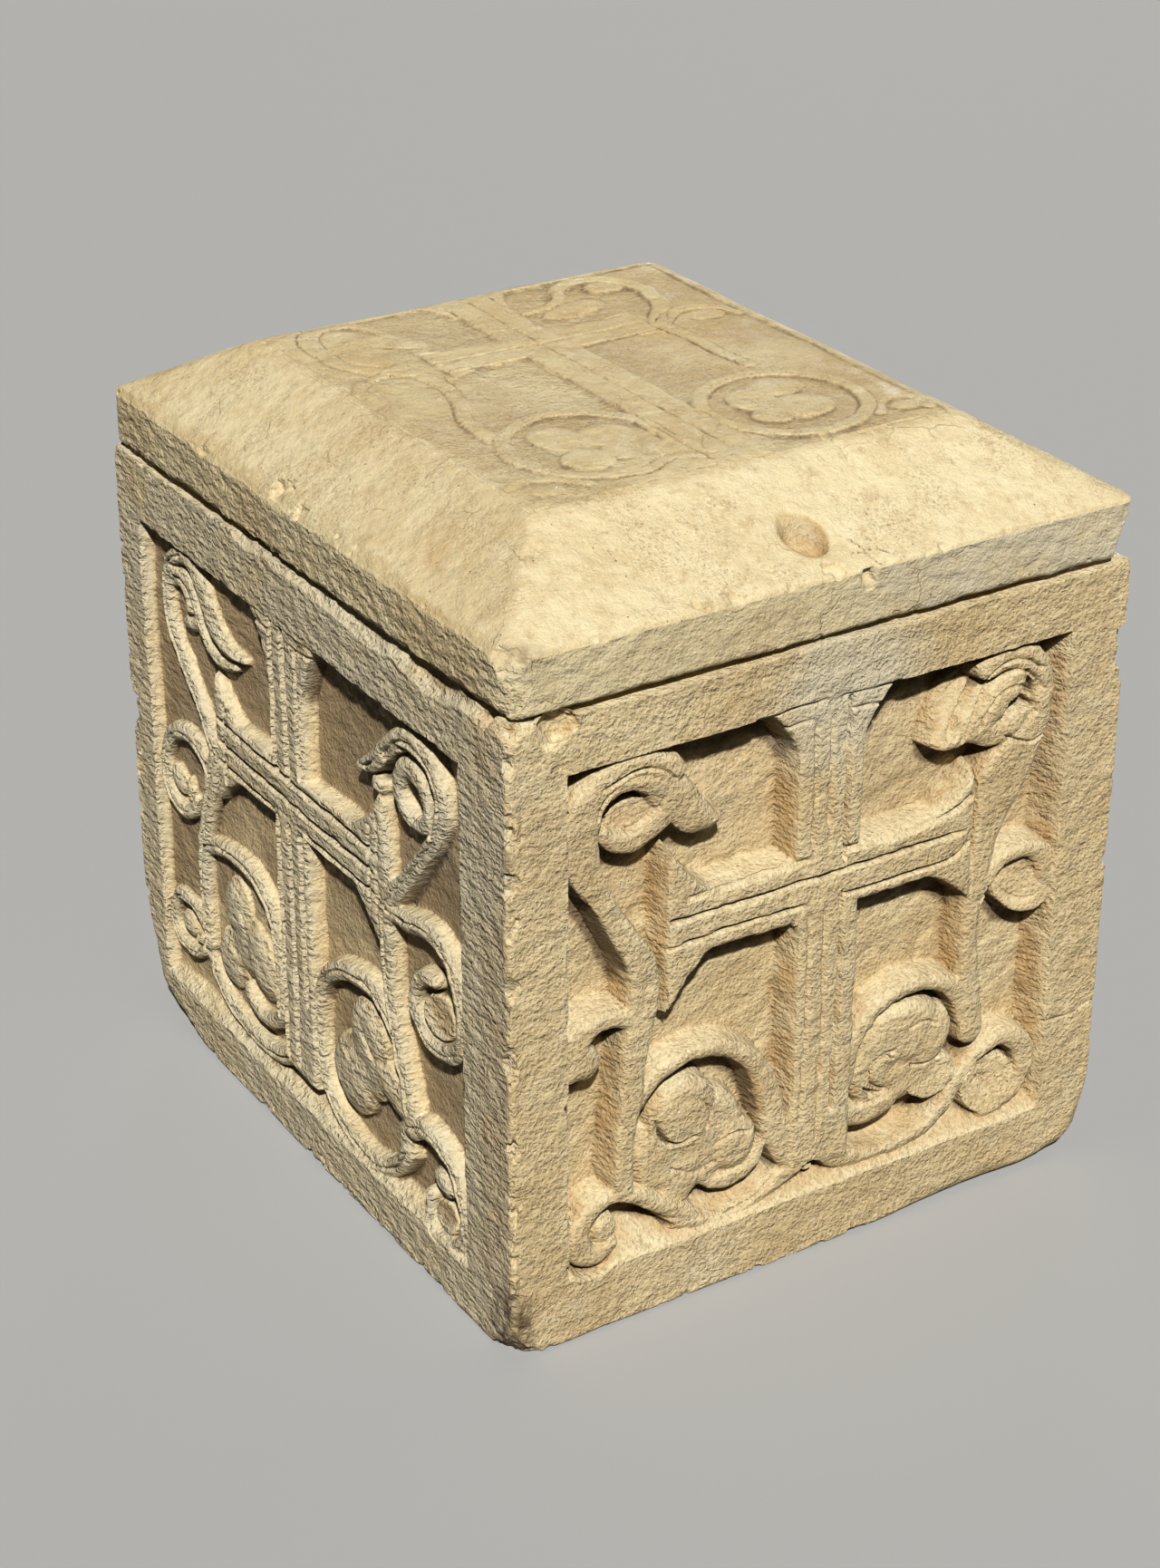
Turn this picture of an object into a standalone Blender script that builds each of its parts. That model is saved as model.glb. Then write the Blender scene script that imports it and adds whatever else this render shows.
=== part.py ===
"""Stone reliquary casket: a carved stone box with a hipped stone lid that lifts off.

The body is one hollow block. Its front (-Y) and left (-X) sides carry a cross between two
wreaths of vine scroll, standing in a sunk panel. The back and right sides are plainer: the same
cross over two plain rings. Metres, +Z up, origin in the middle of the underside.
"""

import math

import bmesh
import bpy
from mathutils import Matrix, Vector

MM = 0.001

# Driving dimensions.
WIDTH = 320 * MM  # along X
DEPTH = 365 * MM  # along Y
BODY_HEIGHT = 308 * MM
WALL = 45 * MM
FLOOR = 60 * MM
CONTACT_GAP = 0.3 * MM

LID_EDGE_HEIGHT = 27.5 * MM
LID_RISE = 32.5 * MM
FLAT_INSET_LEFT = 51 * MM
FLAT_INSET_RIGHT = 54 * MM
FLAT_INSET_FRONT = 61 * MM
FLAT_INSET_BACK = 59 * MM
DIMPLE_MOUTH_RADIUS = 12 * MM
DIMPLE_FLOOR_RADIUS = 5.5 * MM
DIMPLE_DEPTH = 10 * MM
DIMPLE_ACROSS = 157 * MM  # from the left edge of the lid
DIMPLE_INWARD = 22 * MM  # from the front edge of the lid

# The sunk panels. Carving is measured in face coordinates: u to the right and v up, as seen
# from outside, from the face's left edge at CARVING_BASE above the underside.
CARVING_BASE = 8 * MM
BORDER_BOTTOM = 19 * MM
BORDER_TOP = 30 * MM
FRONT_PANEL_DEPTH = 16 * MM
SIDE_PANEL_DEPTH = 9 * MM
PLAIN_PANEL_DEPTH = 10 * MM
DRAFT = 1.6 * MM  # a carved edge spreads by this much from its top to the panel floor
EMBED = 4 * MM  # relief runs this far into the stone behind the panel floor

# The cross, about its own centre.
CROSS_CENTRE_V = 182 * MM
CROSS_HALF_BAR = 15 * MM
CROSS_ARM_REACH = 80 * MM
CROSS_NECK_REACH = 49.6 * MM  # an arm starts to flare here
CROSS_FLARE = 15 * MM
CROSS_FOOT = 142 * MM
CROSS_TOP_REACH = 92 * MM

PANEL_DEPTHS = {
    "front": FRONT_PANEL_DEPTH,
    "left": SIDE_PANEL_DEPTH,
    "back": PLAIN_PANEL_DEPTH,
    "right": PLAIN_PANEL_DEPTH,
}
BORDER_SIDES = {  # left and right border of each side
    "front": (29 * MM, 30 * MM),
    "left": (23 * MM, 41 * MM),
    "back": (30 * MM, 30 * MM),
    "right": (34 * MM, 32 * MM),
}

# Old breaks, as (corner or edge middle in halves of the width and depth and in shares of the
# height, outward direction, depth of the break, length along it), the last two in millimetres.
BREAK_BLOCK = 160 * MM
BODY_BREAKS = {
    "far_foot": ((-1, 1, 0), (-0.5, 1, -1), 14, 160),
    "right_foot": ((1, -1, 0), (1, -0.3, -1), 8, 160),
    "near_foot": ((-1, -1, 0), (-1, -1, -0.8), 5, 160),
    "near_shoulder": ((-1, -1, 1), (-1, -0.7, 0.5), 7, 160),
    "left_rim": ((-1, -0.22, 1), (-1, 0, 0.5), 4, 224),
}
LID_BREAKS = {
    "near_corner": ((-1, -1, 1), (-1, -1, 0.8), 6, 160),
    "right_corner": ((1, -1, 1), (1, -0.7, -0.4), 4, 160),
    "far_corner": ((-1, 1, 1), (-1, 1, 0.4), 4, 160),
    "back_corner": ((1, 1, 1), (1, 1, 0.3), 8, 160),
}

# How far each kind of carving stays behind the border's face.
CROSS_SET_BACK = 0.8 * MM
STEM_SET_BACK = 1.5 * MM
RING_SET_BACK = 2.2 * MM
LEAF_SET_BACK = 3.1 * MM
LEVEL_STEP = 0.17 * MM  # overlapping carvings differ in level by at least this much
LEVEL_COUNT = 7

# One half of the vine, as (distance from the cross's axis, height, half width) in millimetres.
STEM = (
    (96, 62, 5.0),
    (94, 100, 5.0),
    (88, 146, 6.5),
    (92, 176, 6.0),
    (112, 208, 5.5),
    (124, 238, 6.5),
    (116, 257, 6.0),
    (92, 264, 4.5),
)
TOP_LEAF = ((106, 256, 6.0), (86, 250, 12.0), (66, 238, 9.0), (52, 231, 1.5))
TOP_CURL = ((84, 240, 4.0), (92, 230, 4.0), (102, 231, 3.5), (108, 238, 3.0))
FOOT_BAND = (
    (2, 42, 6.5),
    (28, 30, 4.0),
    (58, 26, 3.8),
    (84, 36, 4.0),
    (100, 54, 4.0),
    (116, 58, 3.8),
)
RING_CENTRE = (62, 71)
RING_RADII = (37, 46)
RING_HALF_WIDTH = 4.0
RING_START, RING_END = -60, 195  # degrees, from the side away from the cross, over the top
MIDDLE_HOOK_CENTRE = (118, 143)
MIDDLE_HOOK_RADIUS = 17
MIDDLE_HOOK_START, MIDDLE_HOOK_END = 150, -100
FOOT_SCROLL_CENTRE = (116, 42)
FOOT_SCROLL_RADIUS = 15.5
FOOT_SCROLL_START, FOOT_SCROLL_END = 95, -190
SCROLL_HALF_WIDTH = 4.2
SCROLL_CLOSING = 0.72  # a scroll's radius at its end, as a share of its first radius
# Leaf lobes and buds: (distance from the axis, height, radius across, radius up).
LOBES = ((62, 90, 16, 15), (47, 64, 13, 18), (76, 62, 14, 17), (62, 70, 16, 14))
BUDS = ((117, 141, 9, 7), (116, 41, 7, 7))
PLAIN_RING_CENTRE = (64, 68)
PLAIN_RING_RADIUS = 36
PLAIN_RING_STARTS = (-100, 80)  # degrees; each half ring turns a little past a half circle
HALF_RING_DEGREES = 200
PLAIN_LOBE_RADIUS = 17

CLEAR = 10 * MM  # cutters run this far past the surface
CURVE_STEPS = 3  # points between two points of a smooth curve
ARC_POINT_DEGREES = 18
LOBE_POINTS = 14
DIMPLE_POINTS = 20

STONE_COLOUR = (0.72, 0.60, 0.43, 1.0)
LID_COLOUR = (0.78, 0.67, 0.50, 1.0)
STONE_ROUGHNESS = 0.85


def clear_scene():
    for obj in list(bpy.data.objects):
        bpy.data.objects.remove(obj, do_unlink=True)


def make_material(name, colour):
    material = bpy.data.materials.new(name)
    material.use_nodes = True
    shader = material.node_tree.nodes["Principled BSDF"]
    shader.inputs["Base Color"].default_value = colour
    shader.inputs["Roughness"].default_value = STONE_ROUGHNESS
    shader.inputs["Metallic"].default_value = 0.0
    material.diffuse_color = colour
    return material


def new_collection(name):
    collection = bpy.data.collections.new(name)
    bpy.context.scene.collection.children.link(collection)
    return collection


def make_object(name, shape, collection=None):
    """An object from a bmesh, whose faces are turned outwards."""
    bmesh.ops.recalc_face_normals(shape, faces=shape.faces)
    mesh = bpy.data.meshes.new(name)
    shape.to_mesh(mesh)
    shape.free()
    obj = bpy.data.objects.new(name, mesh)
    (collection or bpy.context.scene.collection).objects.link(obj)
    return obj


def mark_as_cutter(obj):
    obj.hide_render = True
    obj.display_type = "WIRE"


def box_shape(low, high):
    shape = bmesh.new()
    size = Vector(high) - Vector(low)
    centre = (Vector(high) + Vector(low)) / 2
    matrix = Matrix.Translation(centre) @ Matrix.Diagonal((*size, 1.0))
    bmesh.ops.create_cube(shape, size=1.0, matrix=matrix)
    return shape


def face_placement(side):
    """Matrix from (u, v, out) to the object's frame, for a named side."""
    half_x, half_y = WIDTH / 2, DEPTH / 2
    corners = {
        "front": (Vector((-half_x, -half_y, CARVING_BASE)), Vector((1, 0, 0))),
        "right": (Vector((half_x, -half_y, CARVING_BASE)), Vector((0, 1, 0))),
        "back": (Vector((half_x, half_y, CARVING_BASE)), Vector((-1, 0, 0))),
        "left": (Vector((-half_x, half_y, CARVING_BASE)), Vector((0, -1, 0))),
    }
    corner, right = corners[side]
    up = Vector((0, 0, 1))
    axes = Matrix((right, up, right.cross(up))).transposed().to_4x4()
    return Matrix.Translation(corner) @ axes


def prism(name, placement, outline_top, outline_base, out_top, out_base, collection):
    """A closed block between two outlines that have the same number of points."""
    shape = bmesh.new()
    rings = []
    for outline, out in ((outline_base, out_base), (outline_top, out_top)):
        rings.append([shape.verts.new(placement @ Vector((u, v, out))) for u, v in outline])
    count = len(outline_top)
    for i in range(count):
        j = (i + 1) % count
        shape.faces.new((rings[0][i], rings[0][j], rings[1][j], rings[1][i]))
    shape.faces.new(rings[0])
    shape.faces.new(rings[1])
    obj = make_object(name, shape, collection)
    mark_as_cutter(obj)
    return obj


def smooth_points(points):
    """Points of a Catmull-Rom curve through the given ones."""
    points = [Vector(p) for p in points]
    padded = [2 * points[0] - points[1], *points, 2 * points[-1] - points[-2]]
    found = []
    for a, b, c, d in zip(padded, padded[1:], padded[2:], padded[3:]):
        for step in range(CURVE_STEPS):
            t = step / CURVE_STEPS
            cubic = 3 * b - a - 3 * c + d
            found.append(0.5 * (2 * b + (c - a) * t + (2 * a - 5 * b + 4 * c - d) * t**2 + cubic * t**3))
    found.append(points[-1])
    return found


def band_outline(centreline, spread=0.0):
    """The outline of a band with a pointed-round end, from (u, v, half width) points."""
    left, right = [], []
    for i, (u, v, half) in enumerate(centreline):
        before = centreline[max(i - 1, 0)]
        after = centreline[min(i + 1, len(centreline) - 1)]
        along = Vector((after[0] - before[0], after[1] - before[1])).normalized()
        offset = Vector((-along.y, along.x)) * (half + spread)
        left.append(Vector((u, v)) + offset)
        right.append(Vector((u, v)) - offset)
        if i == 0:
            start = Vector((u, v)) - along * (half + spread)
        if i == len(centreline) - 1:
            end = Vector((u, v)) + along * (half + spread)
    return [start, *right, end, *reversed(left)]


def arc_points(centre, radii, start, end, half, closing=1.0):
    """(u, v, half width) points along an elliptical arc whose radius closes towards its end."""
    count = max(int(abs(end - start) / ARC_POINT_DEGREES), 3)
    found = []
    for i in range(count + 1):
        share = i / count
        angle = math.radians(start + (end - start) * share)
        size = 1 + (closing - 1) * share
        u = centre[0] + radii[0] * size * math.cos(angle)
        v = centre[1] + radii[1] * size * math.sin(angle)
        found.append(Vector((u, v, half)))
    return found


def ellipse_outline(centre, radii, spread=0.0):
    angles = [2 * math.pi * i / LOBE_POINTS for i in range(LOBE_POINTS)]
    return [
        (centre[0] + (radii[0] + spread) * math.cos(a), centre[1] + (radii[1] + spread) * math.sin(a))
        for a in angles
    ]


def cross_outline(axis_u, spread=0.0):
    """A cross with a long foot, whose other arms flare towards their flat ends."""
    half = CROSS_HALF_BAR + spread
    flare = half + CROSS_FLARE
    neck = CROSS_NECK_REACH
    arm = CROSS_ARM_REACH + spread
    top = CROSS_TOP_REACH
    top_neck = top - (CROSS_ARM_REACH - neck)
    quarter = [
        (half, top_neck),
        (half, half),
        (neck, half),
        (arm, flare),
        (arm, -flare),
        (neck, -half),
        (half, -half),
        (half, -CROSS_FOOT - spread),
    ]
    right = [(flare, top), *quarter]
    left = [(-u, v) for u, v in reversed(right)]
    return [(axis_u + u, CROSS_CENTRE_V + v) for u, v in (*right, *left)]


class Relief:
    """The raised carving of one side, as blocks in a collection that is joined to the body."""

    def __init__(self, side, panel_depth):
        self.side = side
        self.axis_u = (WIDTH if side in ("front", "back") else DEPTH) / 2
        self.placement = face_placement(side)
        self.out_base = -panel_depth - EMBED
        self.collection = new_collection(f"{side}_relief")

    def raise_block(self, label, top, base, set_back):
        count = len(self.collection.objects)
        out_top = -set_back - LEVEL_STEP * (count % LEVEL_COUNT)
        name = f"{self.side}_{label}_{count}"
        prism(name, self.placement, top, base, out_top, self.out_base, self.collection)

    def raise_band(self, label, points, set_back, mirrored):
        """points are (distance from the axis, height, half width), in millimetres."""
        sign = -1 if mirrored else 1
        line = [Vector((self.axis_u + sign * p[0] * MM, p[1] * MM, p[2] * MM)) for p in points]
        self.raise_block(label, band_outline(line), band_outline(line, DRAFT), set_back)

    def raise_lobe(self, label, lobe, set_back, mirrored):
        sign = -1 if mirrored else 1
        centre = (self.axis_u + sign * lobe[0] * MM, lobe[1] * MM)
        radii = (lobe[2] * MM, lobe[3] * MM)
        top = ellipse_outline(centre, radii)
        self.raise_block(label, top, ellipse_outline(centre, radii, DRAFT), set_back)

    def raise_cross(self):
        top = cross_outline(self.axis_u)
        self.raise_block("cross", top, cross_outline(self.axis_u, DRAFT), CROSS_SET_BACK)


def carve_vine(relief):
    """The scrolls, wreaths and leaves on both sides of the cross."""
    ring = arc_points(RING_CENTRE, RING_RADII, RING_START, RING_END, RING_HALF_WIDTH)
    hook_radii = (MIDDLE_HOOK_RADIUS, MIDDLE_HOOK_RADIUS)
    hook = arc_points(
        MIDDLE_HOOK_CENTRE, hook_radii, MIDDLE_HOOK_START, MIDDLE_HOOK_END,
        SCROLL_HALF_WIDTH, SCROLL_CLOSING,
    )
    scroll_radii = (FOOT_SCROLL_RADIUS, FOOT_SCROLL_RADIUS)
    scroll = arc_points(
        FOOT_SCROLL_CENTRE, scroll_radii, FOOT_SCROLL_START, FOOT_SCROLL_END,
        SCROLL_HALF_WIDTH, SCROLL_CLOSING,
    )
    for mirrored in (True, False):
        relief.raise_band("stem", smooth_points(STEM), STEM_SET_BACK, mirrored)
        relief.raise_band("leaf", smooth_points(TOP_LEAF), STEM_SET_BACK, mirrored)
        relief.raise_band("curl", smooth_points(TOP_CURL), LEAF_SET_BACK, mirrored)
        relief.raise_band("foot_band", smooth_points(FOOT_BAND), RING_SET_BACK, mirrored)
        relief.raise_band("ring", ring, RING_SET_BACK, mirrored)
        relief.raise_band("hook", hook, STEM_SET_BACK, mirrored)
        relief.raise_band("scroll", scroll, RING_SET_BACK, mirrored)
        for lobe in (*LOBES, *BUDS):
            relief.raise_lobe("lobe", lobe, LEAF_SET_BACK, mirrored)


def carve_plain_rings(relief):
    """Two closed rings, each of two half rings that overlap, round a plain boss."""
    radii = (PLAIN_RING_RADIUS, PLAIN_RING_RADIUS)
    boss = (*PLAIN_RING_CENTRE, PLAIN_LOBE_RADIUS, PLAIN_LOBE_RADIUS)
    for mirrored in (True, False):
        for start in PLAIN_RING_STARTS:
            end = start + HALF_RING_DEGREES
            half_ring = arc_points(PLAIN_RING_CENTRE, radii, start, end, RING_HALF_WIDTH)
            relief.raise_band("half_ring", half_ring, RING_SET_BACK, mirrored)
        relief.raise_lobe("boss", boss, LEAF_SET_BACK, mirrored)


def panel_cutter(side, depth, collection):
    """The block that sinks a side's panel, wider at the face than at the panel floor."""
    width = WIDTH if side in ("front", "back") else DEPTH
    border = BORDER_SIDES[side]
    outlines = []
    for spread in (0.0, DRAFT):
        left, right = border[0] - spread, width - border[1] + spread
        low, high = BORDER_BOTTOM - spread, BODY_HEIGHT - CARVING_BASE - BORDER_TOP + spread
        outlines.append([(left, low), (right, low), (right, high), (left, high)])
    floor, mouth = outlines
    prism(f"{side}_panel", face_placement(side), mouth, floor, CLEAR, -depth, collection)


def break_cutter(name, top, row, collection):
    """A block whose flat side breaks away a corner or a stretch of an edge."""
    place, outward, depth, length = row
    corner = Vector((place[0] * WIDTH / 2, place[1] * DEPTH / 2, place[2] * top))
    direction = Vector(outward).normalized()
    along = Vector((0, 1, 0)) if abs(direction.y) < 0.3 else Vector((-direction.y, direction.x, 0))
    across = direction.cross(along).normalized()
    along = across.cross(direction)
    axes = Matrix((along, across, direction)).transposed().to_4x4()
    size = Matrix.Diagonal((length * MM, BREAK_BLOCK, BREAK_BLOCK, 1.0))
    middle = corner + direction * (BREAK_BLOCK / 2 - depth * MM)
    shape = bmesh.new()
    bmesh.ops.create_cube(shape, size=1.0, matrix=Matrix.Translation(middle) @ axes @ size)
    mark_as_cutter(make_object(name, shape, collection))


def break_collection(name, top, rows):
    collection = new_collection(name)
    for label, row in rows.items():
        break_cutter(f"{name}_{label}", top, row, collection)
    return collection


def apply_blocks(obj, operation, collection):
    """Cuts a whole collection of blocks from an object, or joins them to it."""
    modifier = obj.modifiers.new(collection.name, "BOOLEAN")
    modifier.operation = operation
    modifier.solver = "EXACT"
    modifier.operand_type = "COLLECTION"
    modifier.collection = collection


def make_body():
    half_x, half_y = WIDTH / 2, DEPTH / 2
    body = make_object("casket_body", box_shape((-half_x, -half_y, 0), (half_x, half_y, BODY_HEIGHT)))
    hollows = new_collection("hollows")
    inner = (half_x - WALL, half_y - WALL)
    cavity = box_shape((-inner[0], -inner[1], FLOOR), (*inner, BODY_HEIGHT + CLEAR))
    mark_as_cutter(make_object("cavity", cavity, hollows))
    for side, depth in PANEL_DEPTHS.items():
        panel_cutter(side, depth, hollows)
    apply_blocks(body, "DIFFERENCE", hollows)
    for side, depth in PANEL_DEPTHS.items():
        relief = Relief(side, depth)
        relief.raise_cross()
        if side in ("front", "left"):
            carve_vine(relief)
        else:
            carve_plain_rings(relief)
        apply_blocks(body, "UNION", relief.collection)
    apply_blocks(body, "DIFFERENCE", break_collection("body_break", BODY_HEIGHT, BODY_BREAKS))
    body.data.materials.append(make_material("casket_stone", STONE_COLOUR))


def lid_outline(z, left, right, front, back):
    """The corners of a rectangle that is inset from the lid's edges."""
    low_x, high_x = left - WIDTH / 2, WIDTH / 2 - right
    low_y, high_y = front - DEPTH / 2, DEPTH / 2 - back
    return [Vector((x, y, z)) for x in (low_x, high_x) for y in (low_y, high_y)]


def make_lid():
    under = BODY_HEIGHT + CONTACT_GAP
    edge = under + LID_EDGE_HEIGHT
    flat = edge + LID_RISE
    insets = (FLAT_INSET_LEFT, FLAT_INSET_RIGHT, FLAT_INSET_FRONT, FLAT_INSET_BACK)
    shape = bmesh.new()
    corners = [*lid_outline(under, 0, 0, 0, 0), *lid_outline(edge, 0, 0, 0, 0), *lid_outline(flat, *insets)]
    for corner in corners:
        shape.verts.new(corner)
    bmesh.ops.convex_hull(shape, input=shape.verts)
    lid = make_object("casket_lid", shape)

    slope = Vector((0, -LID_RISE, FLAT_INSET_FRONT)).normalized()
    out = DIMPLE_DEPTH / 2
    mouth = Vector((DIMPLE_ACROSS - WIDTH / 2, DIMPLE_INWARD - DEPTH / 2, edge))
    mouth.z += LID_RISE * DIMPLE_INWARD / FLAT_INSET_FRONT
    turn = Vector((0, 0, 1)).rotation_difference(slope).to_matrix().to_4x4()
    shape = bmesh.new()
    bmesh.ops.create_cone(
        shape, cap_ends=True, segments=DIMPLE_POINTS,
        radius1=DIMPLE_FLOOR_RADIUS, radius2=DIMPLE_MOUTH_RADIUS, depth=DIMPLE_DEPTH + out,
        matrix=Matrix.Translation(mouth - slope * (DIMPLE_DEPTH - out) / 2) @ turn,
    )
    hollows = new_collection("lid_hollows")
    mark_as_cutter(make_object("dimple", shape, hollows))
    apply_blocks(lid, "DIFFERENCE", hollows)
    apply_blocks(lid, "DIFFERENCE", break_collection("lid_break", edge, LID_BREAKS))
    lid.data.materials.append(make_material("lid_stone", LID_COLOUR))


clear_scene()
make_body()
make_lid()
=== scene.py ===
"""Looks of the stone reliquary casket: the carved body, its lid, the stone, the floor and the light.

Each of the two pieces is one closed mesh, worked out point by point: a box whose edges are worn and
chipped, and whose sides are sunk and carved by functions of the place on the side. Lengths in the
carving are hundredths of the casket's width, and depths are millimetres below a side's face.
"""

import itertools
import math
from collections import namedtuple

import bpy
import numpy as np
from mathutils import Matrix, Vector


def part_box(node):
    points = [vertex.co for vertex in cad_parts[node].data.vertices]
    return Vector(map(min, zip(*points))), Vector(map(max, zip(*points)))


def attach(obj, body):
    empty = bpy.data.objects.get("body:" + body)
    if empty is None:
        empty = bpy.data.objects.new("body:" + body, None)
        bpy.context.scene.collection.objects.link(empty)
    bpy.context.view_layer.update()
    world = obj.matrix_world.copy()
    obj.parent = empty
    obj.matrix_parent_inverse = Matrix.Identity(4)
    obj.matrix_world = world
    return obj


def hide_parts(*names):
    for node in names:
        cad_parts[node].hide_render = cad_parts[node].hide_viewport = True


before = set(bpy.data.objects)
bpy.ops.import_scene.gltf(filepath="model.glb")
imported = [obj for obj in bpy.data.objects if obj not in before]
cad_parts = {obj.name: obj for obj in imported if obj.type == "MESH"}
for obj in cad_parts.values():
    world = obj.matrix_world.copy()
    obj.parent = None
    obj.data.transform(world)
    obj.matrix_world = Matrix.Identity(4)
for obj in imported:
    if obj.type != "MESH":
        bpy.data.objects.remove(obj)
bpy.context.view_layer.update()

MM = 0.001
BODY_LOW, BODY_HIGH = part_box("casket_body")
LID_LOW, LID_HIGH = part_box("casket_lid")
WIDTH = (BODY_HIGH.x - BODY_LOW.x) / MM
DEPTH = (BODY_HIGH.y - BODY_LOW.y) / MM
BODY_HEIGHT = (BODY_HIGH.z - BODY_LOW.z) / MM
HALF_X, HALF_Y = WIDTH / 2, DEPTH / 2
UNIT = WIDTH / 100  # the carving's unit of length, in millimetres
CARVING_BASE = 8.0  # the height on the body from which the carving is measured, in millimetres
WALL, FLOOR = 45.0, 60.0  # the thickness of the body's walls and floor, in millimetres

# Mesh spacing in millimetres, before the flat stone is thinned out.
FINE = 0.9
COARSE = 1.8
BODY_TRIANGLES = 192000
LID_TRIANGLES = 150000
BLUR_CELLS = max(int(2.2 / FINE), 1)  # mesh cells in the small blur that finds crevices

# Insets of the rings of points on the undersides and on the rim, from the outer edge, in millimetres.
UNDER_INSETS = (130, 100, 75, 52, 36, 25, 17, 12, 8.5, 6, 4, 2.5, 1.2)
RIM_INSETS = (1.0, 2.2, 3.8, 6, 9, 13, 18, 24, 31, 38, 42.5)

# The sides in the order of the mesh round the body, each from its left end as seen from outside.
SIDE_NAMES = ("front", "right", "back", "left")


# ---------------------------------------------------------------- noise

def hashed(ix, iy, iz, seed):
    """A number in [0, 1) for each cell of a lattice: an integer hash, whose factors only mix the bits."""
    h = ix.astype(np.uint32) * np.uint32(374761393)
    h ^= iy.astype(np.uint32) * np.uint32(668265263)
    h ^= iz.astype(np.uint32) * np.uint32(2147483628)
    h ^= np.uint32(seed * 362437 + 1013904223)
    h = (h ^ (h >> np.uint32(13))) * np.uint32(1274126177)
    h = (h ^ (h >> np.uint32(16))) * np.uint32(2246822519)
    return (h ^ (h >> np.uint32(15))).astype(np.float64) / 2.0**32


def value_noise(points, seed):
    """Smooth noise in [-1, 1] over an (n, 3) array, with cells one unit wide."""
    cell = np.floor(points).astype(np.int64)
    part = points - cell
    part = part * part * part * (part * (part * 6 - 15) + 10)
    total = np.zeros(len(points))
    for dx, dy, dz in itertools.product((0, 1), repeat=3):
        weight = np.abs(1 - dx - part[:, 0]) * np.abs(1 - dy - part[:, 1]) * np.abs(1 - dz - part[:, 2])
        total += weight * hashed(cell[:, 0] + dx, cell[:, 1] + dy, cell[:, 2] + dz, seed)
    return total * 2 - 1


def layered_noise(points, size, seed, layers=3, gain=0.5):
    """Noise whose largest features are `size` millimetres wide, in about [-1, 1]."""
    total = np.zeros(len(points))
    scale = 1.0
    weights = 0.0
    for layer in range(layers):
        total += scale * value_noise(points / size * 2.03**layer + 17.3 * layer, seed + layer)
        weights += scale
        scale *= gain
    return total / weights


def cell_distance(points, size, seed):
    """Distance to the nearest of the points scattered one to a cell, in cells."""
    points = points / size
    cell = np.floor(points).astype(np.int64)
    nearest = np.full(len(points), 9.0)
    for step in itertools.product((-1, 0, 1), repeat=3):
        at = cell + np.array(step)
        gap = 0.0
        for axis in range(3):
            jitter = hashed(at[:, 0], at[:, 1], at[:, 2], seed + 31 * axis)
            gap = gap + (at[:, axis] + jitter - points[:, axis]) ** 2
        nearest = np.minimum(nearest, gap)
    return np.sqrt(nearest)


# ---------------------------------------------------------------- small helpers

def clip01(x):
    return np.clip(x, 0.0, 1.0)


def smooth_step(x):
    x = clip01(x)
    return x * x * (3 - 2 * x)


def ramp(x, start, width):
    """0 up to a start, then rising smoothly to 1 over a width."""
    return smooth_step((x - start) / width)


def fall(x, end, width):
    """1 at first, falling smoothly to 0 at an end over a width."""
    return smooth_step((end - x) / width)


def smooth_min(a, b, softness):
    share = clip01(0.5 + 0.5 * (b - a) / softness)
    return b + (a - b) * share - softness * share * (1 - share)


def smooth_max(a, b, softness):
    return -smooth_min(-a, -b, softness)


def turned(x, y, degrees):
    """Places along and across an axis at an angle."""
    a = math.radians(degrees)
    return x * math.cos(a) + y * math.sin(a), -x * math.sin(a) + y * math.cos(a)


def smooth_curve(points, steps=5):
    """Points of a Catmull-Rom curve through the given rows."""
    p = np.asarray(points, float)
    if len(p) < 3:
        return p
    p = np.vstack([2 * p[0] - p[1], p, 2 * p[-1] - p[-2]])
    rows = []
    for a, b, c, d in zip(p, p[1:], p[2:], p[3:]):
        for step in range(steps):
            t = step / steps
            cubic = 3 * b - a - 3 * c + d
            rows.append(0.5 * (2 * b + (c - a) * t + (2 * a - 5 * b + 4 * c - d) * t**2 + cubic * t**3))
    rows.append(p[-2])
    return np.array(rows)


Oval = namedtuple("Oval", "u v wide high turn", defaults=(0,))  # half sizes, and degrees turned


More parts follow.
